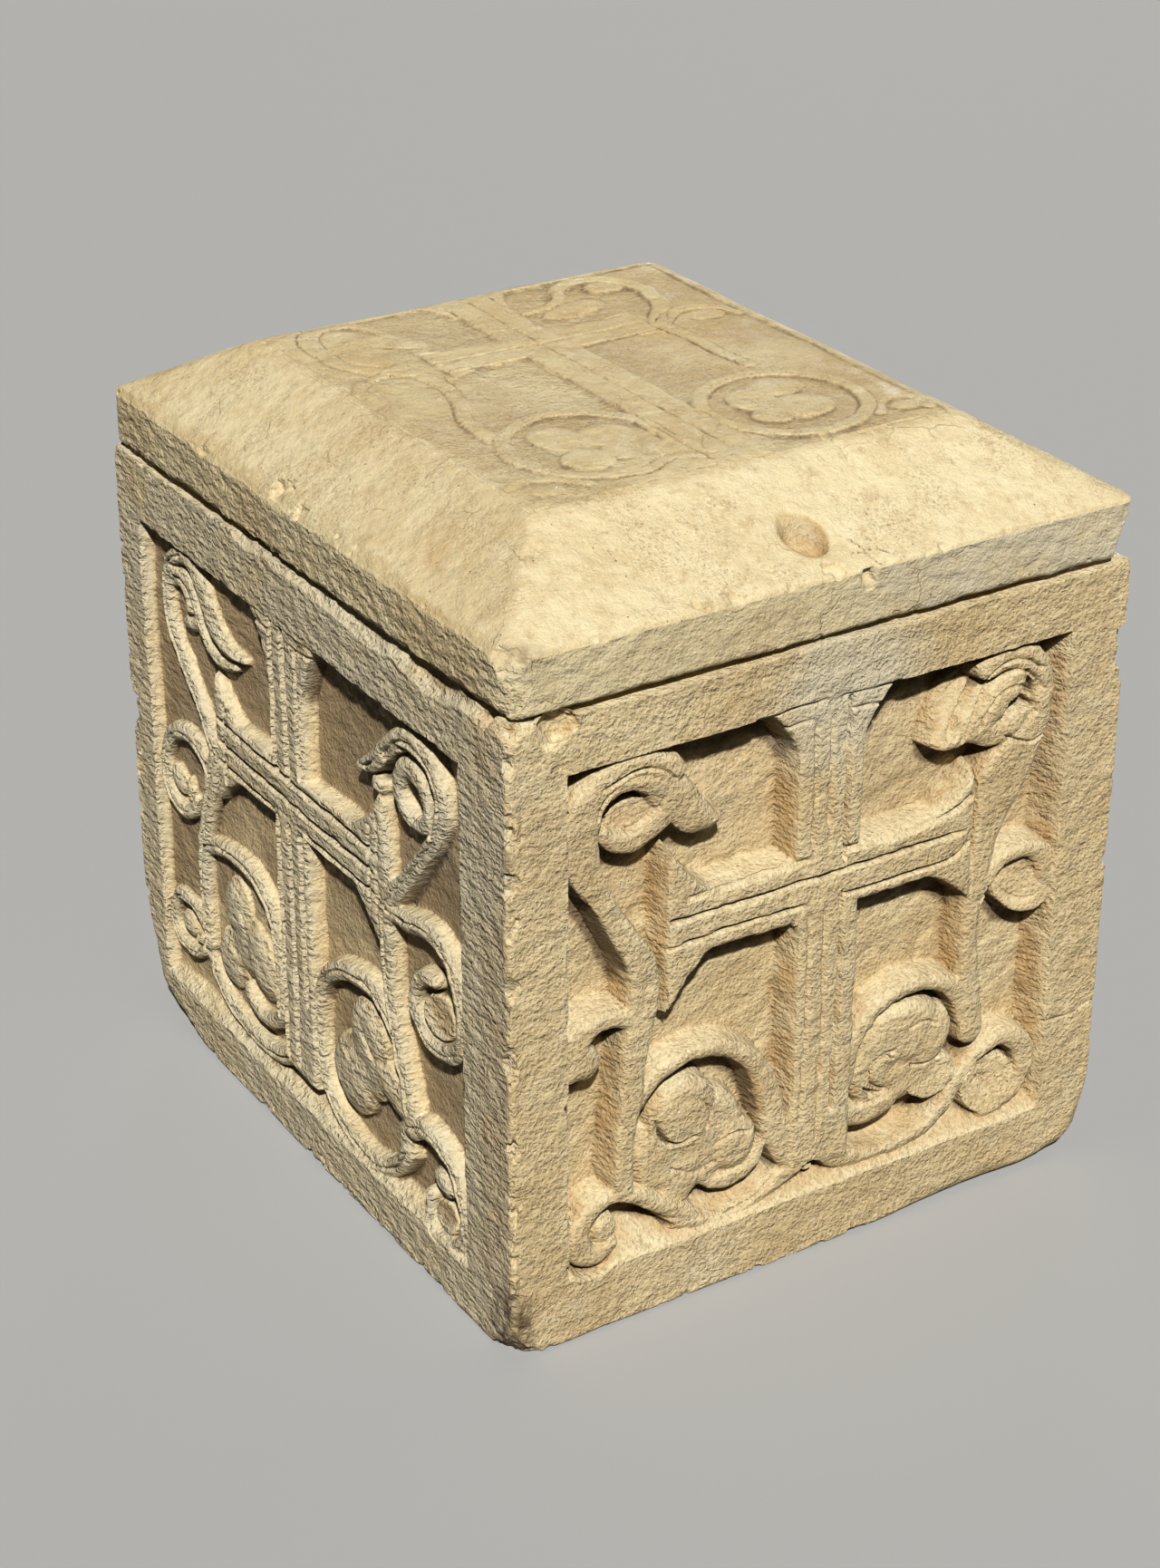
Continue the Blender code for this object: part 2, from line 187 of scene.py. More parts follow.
class Side:
    """One side of the casket as a grid of (u, v) places, with its depth below the face."""

    def __init__(self, u, v, seed, base=0.0):
        self.u_mm, self.v_mm = np.meshgrid(u, v)
        self.seed = seed
        apart = np.full(self.u_mm.size, seed * 50.0)  # keeps the noise of one side unlike the next side's
        self.places = np.stack([self.u_mm.ravel(), self.v_mm.ravel(), apart], 1)
        # The carver's hand: every outline wanders by a fraction of a millimetre.
        wander_u = self.noise(16, 3, 2) * 0.55 + self.noise(4.5, 9, 2) * 0.30
        wander_v = self.noise(16, 5, 2) * 0.55 + self.noise(4.5, 11, 2) * 0.30
        self.u = (self.u_mm + wander_u) / UNIT
        self.v = (self.v_mm - base + wander_v) / UNIT
        self.depth = np.zeros(self.u.shape)
        self.swell = 0.0  # added to the half width of every band that is left standing

    def stretched(self, stretch, turn):
        """The side's places, on which noise has features lengthened along and across a turned axis."""
        along, across = turned(self.places[:, 0], self.places[:, 1], turn)
        return np.stack([along / stretch[0], across / stretch[1], self.places[:, 2]], 1)

    def noise(self, size, seed, layers=3, stretch=(1.0, 1.0), turn=0.0):
        at = self.stretched(stretch, turn)
        return layered_noise(at, size, self.seed * 100 + seed, layers).reshape(self.u_mm.shape)

    def cells(self, size, seed, stretch=(1.0, 1.0), turn=0.0):
        at = self.stretched(stretch, turn)
        return cell_distance(at, size, self.seed * 100 + seed).reshape(self.u_mm.shape)

    # Distances in from an outline, in millimetres: positive inside.

    def in_band(self, rows, reach=3.2):
        """rows are (u, v, half width) along the middle of a band."""
        line = smooth_curve(rows)
        wide = line[:, 2].max() + reach
        low, high = line.min(0) - wide, line.max(0) + wide
        near = (self.u > low[0]) & (self.u < high[0]) & (self.v > low[1]) & (self.v < high[1])
        x, y = self.u[near], self.v[near]
        best = np.full(x.shape, -reach)
        for a, b in zip(line, line[1:]):
            along = b[:2] - a[:2]
            t = clip01(((x - a[0]) * along[0] + (y - a[1]) * along[1]) / max(along @ along, 1e-9))
            gap = np.hypot(x - a[0] - along[0] * t, y - a[1] - along[1] * t)
            best = np.maximum(best, a[2] + (b[2] - a[2]) * t - gap)
        inside = np.full(self.u.shape, -reach)
        inside[near] = best
        return inside * UNIT

    def across_oval(self, oval):
        """Places along and across an oval, as shares of its half sizes."""
        along, across = turned(self.u - oval.u, self.v - oval.v, oval.turn)
        return along / oval.wide, across / oval.high

    def in_oval(self, oval):
        return (1 - np.hypot(*self.across_oval(oval))) * min(oval.wide, oval.high) * UNIT

    def inside(self, shape):
        """Distance in from the outline of an Oval, or of a band given by its rows."""
        if isinstance(shape, Oval):
            return self.in_oval(shape)
        return self.in_band(shape) + self.swell * UNIT

    def in_arm(self, along, across, half, flare, start, reach):
        """One arm of a cross: straight, then spreading from half to flare between start and reach."""
        spread = clip01((along - start) / (reach - start)) ** 1.5
        edge = half + (flare - half) * spread - np.abs(across)
        return np.minimum(np.minimum(edge, reach - along), along + half) * UNIT

    # Carving.

    def sink_panel(self, left, right, bottom, top, depth, slopes, rises=(), soft=1.6):
        """Sinks a rectangle; slopes are rise over run of its left, right, bottom and top walls.

        rises are (centre, reach, height): places where the floor comes up.
        """
        distances = (self.u - left, right - self.u, self.v - bottom, top - self.v)
        floor = depth + self.noise(70, 21, 2) * 1.0
        for centre, reach, height in rises:
            away = np.hypot(self.u - centre[0], self.v - centre[1])
            floor = floor - height * smooth_step(1.15 - away / reach)
        for distance, slope in zip(distances, slopes):
            wall = np.maximum(distance * UNIT, -4) * slope
            floor = smooth_min(floor, wall, soft)
        self.floor = np.maximum(floor, 0)
        self.depth = self.floor.copy()

    def leave(self, inside, top, shoulder, drop, steep=6.0, soft=0.4):
        """Leaves stone standing. From `top` its crown drops towards its edge over `shoulder`."""
        crown = top + drop * (1 - clip01(inside / shoulder)) ** 2
        standing = crown + np.maximum(-inside, 0) * steep
        self.depth = smooth_min(self.depth, np.where(inside > -9, standing, 90.0), soft)

    def hollow(self, inside, depth, steep=4.0, soft=0.4):
        """Cuts down to a depth inside an outline."""
        cut = np.minimum(depth, inside * steep)
        self.depth = smooth_max(self.depth, cut, soft) if soft else np.maximum(self.depth, cut)

    def groove(self, rows, width, depth, sharp=1.2, worn=1.1):
        """Cuts a V along rows of (u, v); width and depth in millimetres, and how unevenly it is worn."""
        rows = [(row[0], row[1], 0.0) for row in rows]
        share = clip01(1 + self.in_band(rows, 2.0) / (width / 2))
        uneven = np.clip(1 + worn * self.noise(9, 13, 2), 0.35, 1.6)
        self.depth += depth * uneven * share**sharp

    def split(self, rows, share, width, depth):
        """Cuts a V along a band, off its middle by a share of its half width."""
        rows = np.asarray(rows, float)
        along = np.gradient(rows[:, :2], axis=0)
        across = np.stack([-along[:, 1], along[:, 0]], 1) / np.linalg.norm(along, axis=1, keepdims=True)
        self.groove(rows[:, :2] + across * rows[:, 2:] * share, width, depth)

    def bowl(self, oval, rim, sink, lean, toward):
        """Leaves a hollowed oval: its rim at a depth, its middle lower, and lower still toward an angle."""
        along, across = self.across_oval(oval)
        share = clip01(1 - along**2 - across**2)
        slope = turned(self.u - oval.u, self.v - oval.v, toward)[0] / max(oval.wide, oval.high)
        top = rim + sink * share + lean * np.clip(slope + 0.6, 0, 2)
        self.leave(self.in_oval(oval), top, 1.6, 1.2)

    def leave_cross(self, arms, top, shoulder, drop, **shape):
        """arms are (along, across, half, flare, start, reach), one for each arm."""
        self.leave(np.maximum.reduce([self.in_arm(*arm) for arm in arms]), top, shoulder, drop, **shape)

    def leave_each(self, shapes):
        """shapes are (an Oval or rows, top, shoulder, drop)."""
        for shape, top, shoulder, drop in shapes:
            self.leave(self.inside(shape), top, shoulder, drop)

    def hollow_each(self, cuts):
        """cuts are (rows, depth)."""
        for rows, depth in cuts:
            self.hollow(self.in_band(rows), depth)

    def groove_each(self, lines, sharp=1.2, worn=1.1):
        """lines are (rows of u and v, width, depth)."""
        for rows, width, depth in lines:
            self.groove(rows, width, depth, sharp, worn)


# ---------------------------------------------------------------- the front

def carve_front(side):
    side.sink_panel(9.0, 90.6, 7.4, 84.6, 16.0, (4.0, 2.8, 1.15, 5.0), rises=(
        ((36.0, 85.0), 12, -3.4), ((67.0, 85.0), 13, -3.4), ((11.0, 50.0), 9, -2.0),
    ))

    u, v = side.u, side.v
    side.leave_cross((
        (v - 57, u - 50.5, 5.3, 13.0, 20.5, 30.5),
        (57 - v, u - 50.9, 5.0, 5.0, 40.0, 46.0),
        (49.9 - u, v - 57, 4.6, 12.5, 18.0, 25.2),
        (u - 49.9, v - 57, 4.3, 10.0, 17.5, 25.5),
    ), 1.0, 2.4, 1.3)

    # Vine stems, wreaths and scrolls: (rows of u, v, half width), top, shoulder, drop.
    stem_left = [
        (18.3, 19.0, 1.5), (18.3, 25.0, 1.5), (19.3, 33.0, 1.7), (20.0, 40.0, 1.9), (21.2, 47.5, 2.2),
        (21.0, 52.5, 2.2), (19.5, 56.0, 1.9), (17.0, 60.2, 1.6), (14.6, 64.8, 1.7), (12.3, 69.0, 2.3),
        (11.3, 73.5, 2.7), (11.8, 77.5, 2.7), (13.8, 80.5, 2.3), (17.5, 82.6, 1.7), (21.5, 82.8, 1.6),
        (25.4, 81.0, 1.8),
    ]
    leaf_left = [
        (15.0, 79.5, 1.0), (19.0, 80.6, 1.5), (23.5, 79.2, 2.3), (26.2, 76.2, 2.8), (28.5, 73.3, 2.6),
        (31.2, 71.9, 1.3), (33.0, 72.0, 0.4),
    ]
    wreath_left = [
        (18.6, 24.5, 1.3), (19.0, 29.0, 1.5), (22.2, 33.5, 1.4), (26.2, 35.8, 1.25), (30.5, 36.4, 1.2),
        (35.5, 35.2, 1.3), (39.8, 31.6, 1.5), (42.3, 26.2, 1.9), (43.6, 20.0, 2.1), (46.0, 15.0, 2.5),
    ]
    wreath_left_foot = [
        (49.0, 14.5, 2.4), (45.5, 11.3, 1.7), (40.5, 9.1, 1.35), (36.0, 8.1, 1.2), (31.5, 8.4, 1.2),
        (27.0, 10.4, 1.4),
    ]
    scroll_low_left = [
        (29.0, 10.8, 1.3), (24.8, 13.6, 1.4), (20.5, 16.5, 1.3), (16.5, 17.8, 1.2), (13.0, 16.5, 1.4),
        (11.2, 13.5, 1.8), (11.8, 10.4, 1.9), (14.2, 9.3, 1.5), (16.4, 10.4, 1.1),
    ]
    hook_left = [
        (20.5, 45.0, 1.8), (16.5, 46.2, 1.3), (13.0, 45.8, 1.5), (10.6, 43.6, 2.4), (10.0, 41.0, 2.6),
    ]
    wreath_right = [
        (55.6, 23.0, 1.3), (56.2, 28.0, 1.5), (58.0, 31.3, 1.4), (61.2, 33.8, 1.2), (65.2, 35.1, 1.15),
        (69.2, 35.0, 1.2), (72.7, 33.6, 1.4), (75.5, 30.8, 1.7), (77.2, 26.5, 1.9),
    ]
    wreath_right_foot = [
        (50.0, 14.5, 2.6), (54.0, 11.0, 1.6), (59.0, 9.5, 1.25), (65.0, 9.3, 1.15), (70.5, 10.7, 1.3),
        (74.0, 13.5, 1.5), (76.5, 17.0, 1.5), (80.0, 20.0, 1.2), (84.0, 21.2, 1.4), (87.2, 19.2, 1.8),
        (88.3, 15.5, 1.7), (87.2, 11.8, 1.4), (84.2, 9.9, 1.2), (81.0, 9.4, 0.9),
    ]
    stem_right = [
        (77.6, 24.5, 2.0), (77.2, 30.0, 2.0), (76.4, 36.0, 1.6), (76.2, 43.0, 1.5), (76.8, 49.0, 1.9),
        (77.6, 54.0, 2.2), (78.6, 59.0, 2.8), (80.2, 64.0, 4.2), (82.5, 67.5, 3.6), (85.8, 71.5, 2.0),
        (86.7, 75.5, 1.7), (86.2, 79.0, 1.8), (83.8, 81.8, 2.1), (80.0, 82.8, 1.7), (76.5, 82.2, 1.7),
    ]
    leaf_right = [
        (67.8, 72.6, 0.3), (70.2, 73.6, 2.0), (72.8, 75.4, 3.8), (75.8, 77.6, 5.0), (79.0, 79.6, 4.4),
    ]
    hook_right = [
        (77.0, 45.5, 1.3), (78.7, 48.8, 1.4), (81.5, 51.1, 1.2), (85.0, 51.8, 1.2), (88.5, 50.5, 1.5),
        (90.5, 47.0, 2.3),
    ]
    side.leave_each((
        (wreath_left, 2.4, 3.6, 2.2),
        (wreath_left_foot, 2.4, 3.6, 2.0),
        (scroll_low_left, 1.8, 3.6, 2.0),
        (wreath_right, 2.2, 3.6, 2.0),
        (wreath_right_foot, 2.2, 3.6, 2.0),
        (stem_left, 0.9, 3.0, 1.2),
        (stem_right, 1.6, 4.0, 1.6),
        (hook_left, 1.6, 3.4, 1.8),
        (hook_right, 1.8, 3.4, 1.8),
        (leaf_left, 1.2, 6.0, 2.6),
    ))
    # The right leaf sinks into the floor up and to the left.
    fall = (-0.6 * (u - 72.5) + 0.8 * (v - 71) - 1.5) / 6
    side.leave(side.in_band(leaf_right), 1.5 + 12 * smooth_step(fall), 3.0, 1.6)

    # The left wreath's bud: its heart, its three lobes, its foot and the tendril under it.
    side.leave_each((
        (Oval(29.4, 20.4, 8.8, 6.4, -6), 4.4, 7, 3.0),
        (Oval(28.3, 26.8, 5.5, 5.9, 10), 2.6, 7, 3.6),
        (Oval(23.6, 20.8, 3.6, 6.2, 8), 4.6, 7, 3.6),
        (Oval(34.6, 24.4, 3.4, 5.6, 36), 4.6, 6, 3.4),
        (Oval(37.0, 19.2, 3.8, 4.4, 10), 2.8, 6, 3.6),
        ([(28.5, 17.0, 3.4), (26.8, 13.2, 2.6), (28.0, 10.8, 1.8)], 3.8, 5, 2.4),
        ([(31.5, 15.6, 1.0), (34.0, 13.9, 1.3), (37.4, 13.6, 1.5),
          (40.2, 15.2, 1.4), (42.0, 18.2, 0.9)], 3.8, 3, 2.0),
    ))
    side.hollow_each((([(23.7, 27.6, 0.5), (24.2, 25.2, 1.0), (26.2, 22.6, 0.5)], 6.0),))
    # The right wreath's bud: a broad head over a heart, a side lobe and two low ones.
    side.leave_each((
        (Oval(65.0, 22.4, 7.8, 6.4), 4.4, 7, 3.0),
        (Oval(65.4, 27.6, 7.6, 5.2, -4), 2.4, 7, 3.4),
        (Oval(60.4, 23.0, 3.8, 6.0, 4), 3.6, 6, 3.2),
        (Oval(70.8, 25.4, 3.4, 4.8, -14), 2.6, 6, 3.0),
        ([(63.5, 17.2, 1.8), (60.0, 16.3, 1.8), (56.2, 17.0, 1.7), (53.8, 18.4, 1.4)], 3.0, 4, 2.0),
    ))
    side.hollow_each((
        ([(58.6, 21.0, 0.4), (60.4, 19.4, 0.9), (62.8, 18.9, 0.4)], 6.5),
        ([(60.6, 24.0, 0.4), (62.4, 25.0, 0.6), (63.6, 24.4, 0.3)], 4.6),
    ))
    side.bowl(Oval(71.0, 18.9, 4.3, 3.6, -10), 2.6, 2.0, 1.4, 110)

    # The eyes of the scrolls, and the drilled hollows beside the stems.
    side.hollow_each((
        ([(14.5, 74.8, 0.5), (15.6, 76.9, 1.1), (17.7, 78.0, 1.4), (20.6, 77.4, 0.7)], 11.0),
        ([(12.9, 43.2, 0.5), (14.4, 44.2, 1.0), (15.9, 43.6, 1.3), (17.0, 41.6, 0.9)], 21.0),
        ([(9.6, 35.6, 1.3), (11.2, 36.4, 1.9), (13.0, 37.2, 1.5)], 29.0),
        ([(13.4, 14.4, 0.5), (15.3, 16.0, 1.0), (18.0, 15.9, 1.1),
          (21.5, 13.4, 1.2), (26.0, 9.6, 1.0)], 18.0),
        ([(9.2, 9.6, 0.7), (11.5, 7.7, 0.9), (14.5, 7.4, 0.8), (17.0, 9.0, 0.6)], 15.0),
        ([(77.7, 45.6, 0.4), (80.2, 48.4, 0.8), (83.3, 49.9, 1.1), (87.3, 48.7, 0.6)], 14.0),
        ([(76.8, 16.2, 0.4), (79.9, 18.6, 1.0), (83.0, 19.0, 1.2), (85.6, 17.0, 0.5)], 11.0),
        ([(88.6, 12.8, 0.5), (89.6, 11.4, 0.7)], 5.0),
        ([(47.2, 10.8, 0.4), (49.6, 11.7, 0.9), (52.2, 10.2, 0.5)], 17.0),
    ))

    # The curled ends of the scrolls and hooks: a rim round a hollow that deepens towards the eye.
    side.leave_each((
        ([(14.6, 74.8, 0.7), (16.4, 72.8, 1.4), (19.4, 71.9, 1.7),
          (22.4, 73.0, 1.7), (25.0, 75.0, 1.8)], 2.2, 3.4, 2.2),
        ([(74.6, 72.8, 1.5), (78.4, 71.7, 1.8), (81.6, 72.6, 1.7), (83.8, 74.6, 1.2)], 2.0, 3.6, 1.8),
        (Oval(11.6, 40.9, 3.1, 2.5, -10), 1.6, 5, 1.8),
        (Oval(15.4, 12.8, 2.2, 2.4), 3.0, 5, 2.6),
    ))
    side.bowl(Oval(19.6, 75.2, 4.8, 3.4), 3.0, 2.2, 3.0, 120)
    side.bowl(Oval(86.0, 46.0, 5.6, 4.2, -24), 1.6, 1.6, 3.6, 120)
    side.bowl(Oval(82.0, 13.8, 4.8, 4.5, 10), 2.6, 2.2, 3.4, 110)
    side.hollow_each((
        ([(80.6, 74.6, 1.2), (82.4, 75.6, 1.6), (84.9, 74.6, 0.8)], 17.0),
        ([(14.8, 75.2, 0.8), (16.0, 77.2, 1.4), (18.4, 78.3, 1.6), (21.4, 77.6, 0.9)], 15.0),
    ))

    # Incised lines: (rows of u, v), width and depth in millimetres.
    lines = (
        ([(25.4, 58.4), (38, 58.2), (60, 58.4), (73.4, 58.2)], 3.8, 3.2),
        ([(24.9, 54.4), (36, 54.9), (46.5, 54.6)], 3.0, 3.2),
        ([(52.5, 54.4), (64, 54.4), (71.8, 54.5), (74.4, 56.2)], 3.0, 3.4),
        ([(28.0, 61.2), (38.0, 61.2), (47.0, 61.4)], 4.6, 2.8),
        ([(53.5, 61.4), (64.0, 61.0), (71.0, 61.8), (74.5, 63.4)], 4.6, 2.8),
        ([(53.2, 84.0), (53.1, 70.0), (53.2, 60.0)], 3.6, 4.6),
        ([(53.0, 55.0), (53.0, 42.0), (52.6, 20.0)], 3.4, 4.4),
        ([(47.6, 53.0), (47.8, 38.0), (47.4, 20.0)], 3.4, 2.2),
        ([(50.3, 53.0), (50.5, 30.0), (50.2, 16.0)], 3.4, 1.9),
        ([(47.6, 82.0), (47.8, 72.0), (47.8, 62.0)], 3.4, 2.0),
        ([(50.3, 82.0), (50.4, 72.0), (50.4, 62.0)], 3.4, 1.8),
        ([(39.4, 82.2), (47.0, 82.3)], 2.4, 1.8),
        ([(53.0, 82.3), (59.5, 81.9)], 2.4, 1.8),
        ([(38.0, 84.7), (50.0, 84.8), (61.0, 84.6)], 2.4, 1.9),
        ([(75.4, 67.0), (75.4, 60.0), (75.6, 53.0)], 2.2, 1.3),
        ([(14.6, 80.8), (18.0, 82.0), (20.8, 82.4), (23.6, 81.4), (25.6, 79.8)], 2.8, 2.2),
        ([(13.6, 77.0), (14.6, 79.2), (16.4, 80.4)], 2.4, 1.5),
        ([(18.8, 73.4), (21.0, 74.0), (23.0, 75.4), (24.0, 77.2)], 2.4, 1.6),
        ([(70.0, 73.0), (73.0, 76.8), (75.8, 80.2), (79.0, 82.4), (83.0, 82.0), (85.6, 80.2)], 2.8, 2.2),
        ([(72.6, 72.4), (74.8, 76.2), (77.6, 79.6), (80.8, 80.8), (84.0, 79.6), (86.2, 76.8)], 2.8, 2.2),
        ([(75.2, 73.0), (76.6, 75.6), (78.8, 77.8), (81.6, 78.4), (84.4, 76.8), (85.2, 73.6)], 2.6, 2.0),
        ([(79.8, 71.2), (82.4, 70.0), (85.0, 69.2), (87.4, 70.0)], 2.6, 2.6),
        ([(35.0, 8.3), (40.5, 9.6), (44.8, 12.6)], 2.6, 1.8),
        ([(24.4, 27.0), (25.0, 24.4), (27.2, 22.8), (30.0, 23.0)], 3.0, 2.8),
        ([(30.4, 29.0), (32.6, 26.4), (32.0, 23.6)], 2.6, 2.2),
        ([(33.4, 20.2), (36.6, 21.4), (39.6, 20.6)], 2.6, 2.0),
        ([(26.6, 18.6), (30.2, 17.0), (33.4, 17.6)], 2.8, 2.0),
        ([(64.0, 25.6), (61.2, 25.4), (59.8, 23.2), (60.6, 20.6), (63.2, 19.2)], 3.0, 3.0),
        ([(66.2, 28.4), (69.0, 29.0), (71.6, 27.6)], 2.8, 2.4),
        ([(67.2, 21.8), (69.4, 21.4), (73.4, 21.8)], 2.6, 2.4),
        ([(56.6, 22.0), (56.2, 19.4), (58.4, 17.8)], 2.8, 2.2),
        ([(80.4, 16.6), (81.4, 14.0), (83.4, 11.6)], 2.8, 1.4),
        ([(82.4, 45.8), (84.6, 44.0), (87.4, 43.6)], 2.6, 1.2),
        ([(90.5, 22.2), (93.0, 22.0), (96.0, 21.8), (98.4, 22.9), (100, 23.2)], 1.7, 1.8),
    )
    side.groove_each(lines)


# ---------------------------------------------------------------- the left side

def carve_left(side):
    side.sink_panel(7.0, 101.6, 5.6, 83.6, 9.4, (4.0, 6.0, 1.3, 7.0), rises=(
        ((12.0, 66.0), 36, 2.6), ((14.0, 22.0), 36, 2.6), ((34.0, 79.0), 13, 1.4), ((101.0, 66.0), 15, 2.4),
        ((14.0, 25.5), 7, 1.2), ((84.0, 64.0), 8, 0.8), ((70.0, 70.0), 16, -1.4),
    ))
    side.swell = 0.12

    u, v = side.u, side.v
    side.leave_cross((
        (v - 56.5, u - 52.4, 5.0, 11.5, 17.0, 29.0),
        (56.5 - v, u - 52.3, 5.0, 5.0, 40.0, 46.5),
        (52.7 - u, v - 56.5, 4.8, 10.5, 16.0, 23.6),
        (u - 52.7, v - 56.5, 4.8, 11.0, 18.0, 25.6),
    ), 0.8, 2.4, 1.6)

    stem_far = [
        (21.2, 17.5, 1.3), (20.8, 24.0, 1.3), (20.9, 30.0, 1.4), (21.8, 36.0, 1.5), (23.6, 42.0, 1.6),
        (25.4, 47.5, 1.9), (27.0, 52.5, 1.7), (26.0, 55.6, 1.5), (23.4, 59.2, 1.4), (20.4, 62.4, 1.4),
        (17.4, 65.4, 1.4), (15.2, 68.4, 1.4), (14.0, 71.6, 1.4), (13.9, 75.2, 1.4), (14.8, 78.4, 1.4),
        (17.0, 80.8, 1.3), (20.2, 82.2, 1.3),
    ]
    leaf_far = [
        (18.5, 81.9, 1.2), (22.4, 81.7, 1.5), (25.6, 79.4, 1.9), (28.2, 75.8, 2.1), (31.0, 73.1, 1.8),
        (34.5, 72.1, 1.2), (38.2, 72.2, 0.4),
    ]
    leaf_far_inner = [
        (15.4, 77.2, 0.9), (18.0, 78.9, 1.1), (21.2, 78.4, 1.2), (23.6, 75.6, 1.2), (25.4, 72.4, 1.2),
        (28.0, 70.0, 1.1), (31.6, 69.2, 0.9), (35.2, 70.1, 0.5),
    ]
    eye_far = [(16.0, 76.4, 0.7), (18.4, 77.2, 0.8), (20.4, 76.0, 0.8), (20.9, 73.8, 0.7)]
    lip_far = [(19.4, 71.4, 0.7), (21.4, 71.5, 0.9), (23.2, 72.3, 0.7)]
    hook_far = [
        (25.6, 48.6, 1.5), (22.6, 50.9, 1.4), (18.8, 51.9, 1.4), (14.8, 51.3, 1.3), (11.4, 49.3, 1.2),
        (9.5, 46.2, 1.2), (9.0, 42.8, 1.2), (9.8, 39.8, 1.2), (12.0, 38.2, 1.2), (15.4, 37.8, 1.1),
        (18.2, 39.3, 0.9), (19.2, 41.4, 0.7),
    ]
    scroll_far = [
        (21.0, 18.8, 1.2), (18.2, 21.2, 1.1), (14.0, 21.9, 1.1), (10.4, 20.8, 1.1), (8.7, 18.2, 1.2),
        (8.4, 15.5, 1.2), (9.9, 13.3, 1.1), (13.0, 12.5, 1.0), (16.4, 13.1, 0.9), (18.6, 14.6, 0.6),
    ]
    wreath_far = [
        (21.6, 34.6, 1.2), (24.8, 36.0, 1.3), (29.0, 37.0, 1.4), (34.0, 37.3, 1.5), (38.6, 36.6, 1.6),
        (42.0, 34.5, 1.6), (44.2, 30.8, 1.4), (45.0, 26.0, 1.2), (45.2, 21.0, 1.1), (44.9, 16.8, 1.1),
    ]
    wreath_far_foot = [
        (21.0, 16.0, 1.0), (23.0, 13.0, 1.1), (26.4, 10.4, 1.2), (31.0, 8.8, 1.3), (36.5, 8.1, 1.4),
        (41.5, 8.4, 1.3), (45.5, 9.7, 1.3), (49.0, 11.5, 1.6),
    ]
    wreath_near = [
        (84.3, 23.6, 1.2), (82.6, 27.6, 1.2), (80.4, 31.6, 1.2), (77.4, 34.6, 1.4), (73.0, 35.9, 1.6),
        (68.5, 35.5, 1.5), (64.0, 34.0, 1.4), (60.2, 31.2, 1.2), (58.1, 27.4, 1.2), (57.3, 22.5, 1.2),
        (57.4, 17.5, 1.2), (59.0, 12.8, 1.3), (62.6, 9.0, 1.4), (67.6, 7.0, 1.5), (72.8, 6.6, 1.5),
        (77.6, 7.9, 1.4), (81.0, 10.6, 1.4), (83.2, 14.0, 1.6),
    ]
    stem_near = [
        (84.6, 21.5, 1.7), (83.3, 25.5, 1.5), (81.8, 30.0, 1.4), (80.4, 35.0, 1.4), (79.5, 40.0, 1.4),
        (79.3, 46.0, 1.6), (79.8, 52.0, 1.9), (83.4, 56.6, 1.4), (87.0, 60.6, 1.3), (90.6, 64.8, 1.3),
        (93.8, 68.8, 1.4), (95.5, 73.0, 1.5), (94.8, 76.8, 1.5), (91.8, 79.4, 1.5), (87.6, 80.4, 1.5),
        (83.8, 79.0, 1.5), (80.6, 76.2, 1.5), (77.6, 73.5, 1.4), (75.2, 71.8, 1.0), (73.2, 71.0, 0.5),
    ]
    ring_near = [
        (87.0, 68.6, 1.1), (84.4, 69.9, 1.2), (83.6, 72.6, 1.3), (85.0, 75.2, 1.4), (88.0, 76.0, 1.4),
        (90.8, 74.6, 1.3), (91.8, 71.8, 1.2), (90.6, 69.2, 1.1), (88.4, 68.4, 0.9),
    ]
    spur_near = [(78.4, 67.2, 1.0), (78.8, 63.0, 1.2), (79.2, 58.5, 1.5), (79.3, 54.0, 1.8)]
    hook_near = [
        (80.5, 51.8, 1.7), (85.0, 52.2, 1.4), (89.6, 53.4, 1.4), (93.6, 53.2, 1.4), (97.0, 51.2, 1.5),
        (99.3, 47.6, 1.5), (100.1, 43.4, 1.4), (99.1, 39.6, 1.4), (96.2, 36.8, 1.3), (92.6, 35.9, 1.2),
        (89.0, 36.9, 1.1), (86.8, 39.6, 1.1), (87.0, 43.0, 1.0), (89.2, 45.6, 1.0), (92.4, 46.4, 0.8),
    ]
    scroll_near = [
        (84.6, 18.8, 1.8), (88.6, 20.6, 1.5), (92.6, 20.2, 1.3), (96.4, 18.2, 1.3), (98.7, 14.6, 1.2),
        (99.4, 10.6, 1.2), (98.3, 6.9, 1.2), (95.0, 5.0, 1.1), (91.6, 5.3, 1.0), (89.7, 7.8, 1.0),
        (89.8, 10.8, 0.8),
    ]
    tendril_far = [
        (33.6, 15.4, 0.9), (36.2, 13.4, 1.1), (39.8, 13.1, 1.2), (43.2, 14.6, 1.2), (45.8, 17.6, 1.1),
    ]
    neck_near = [(74.0, 23.0, 3.0), (79.0, 21.6, 2.8), (84.0, 19.6, 2.4)]
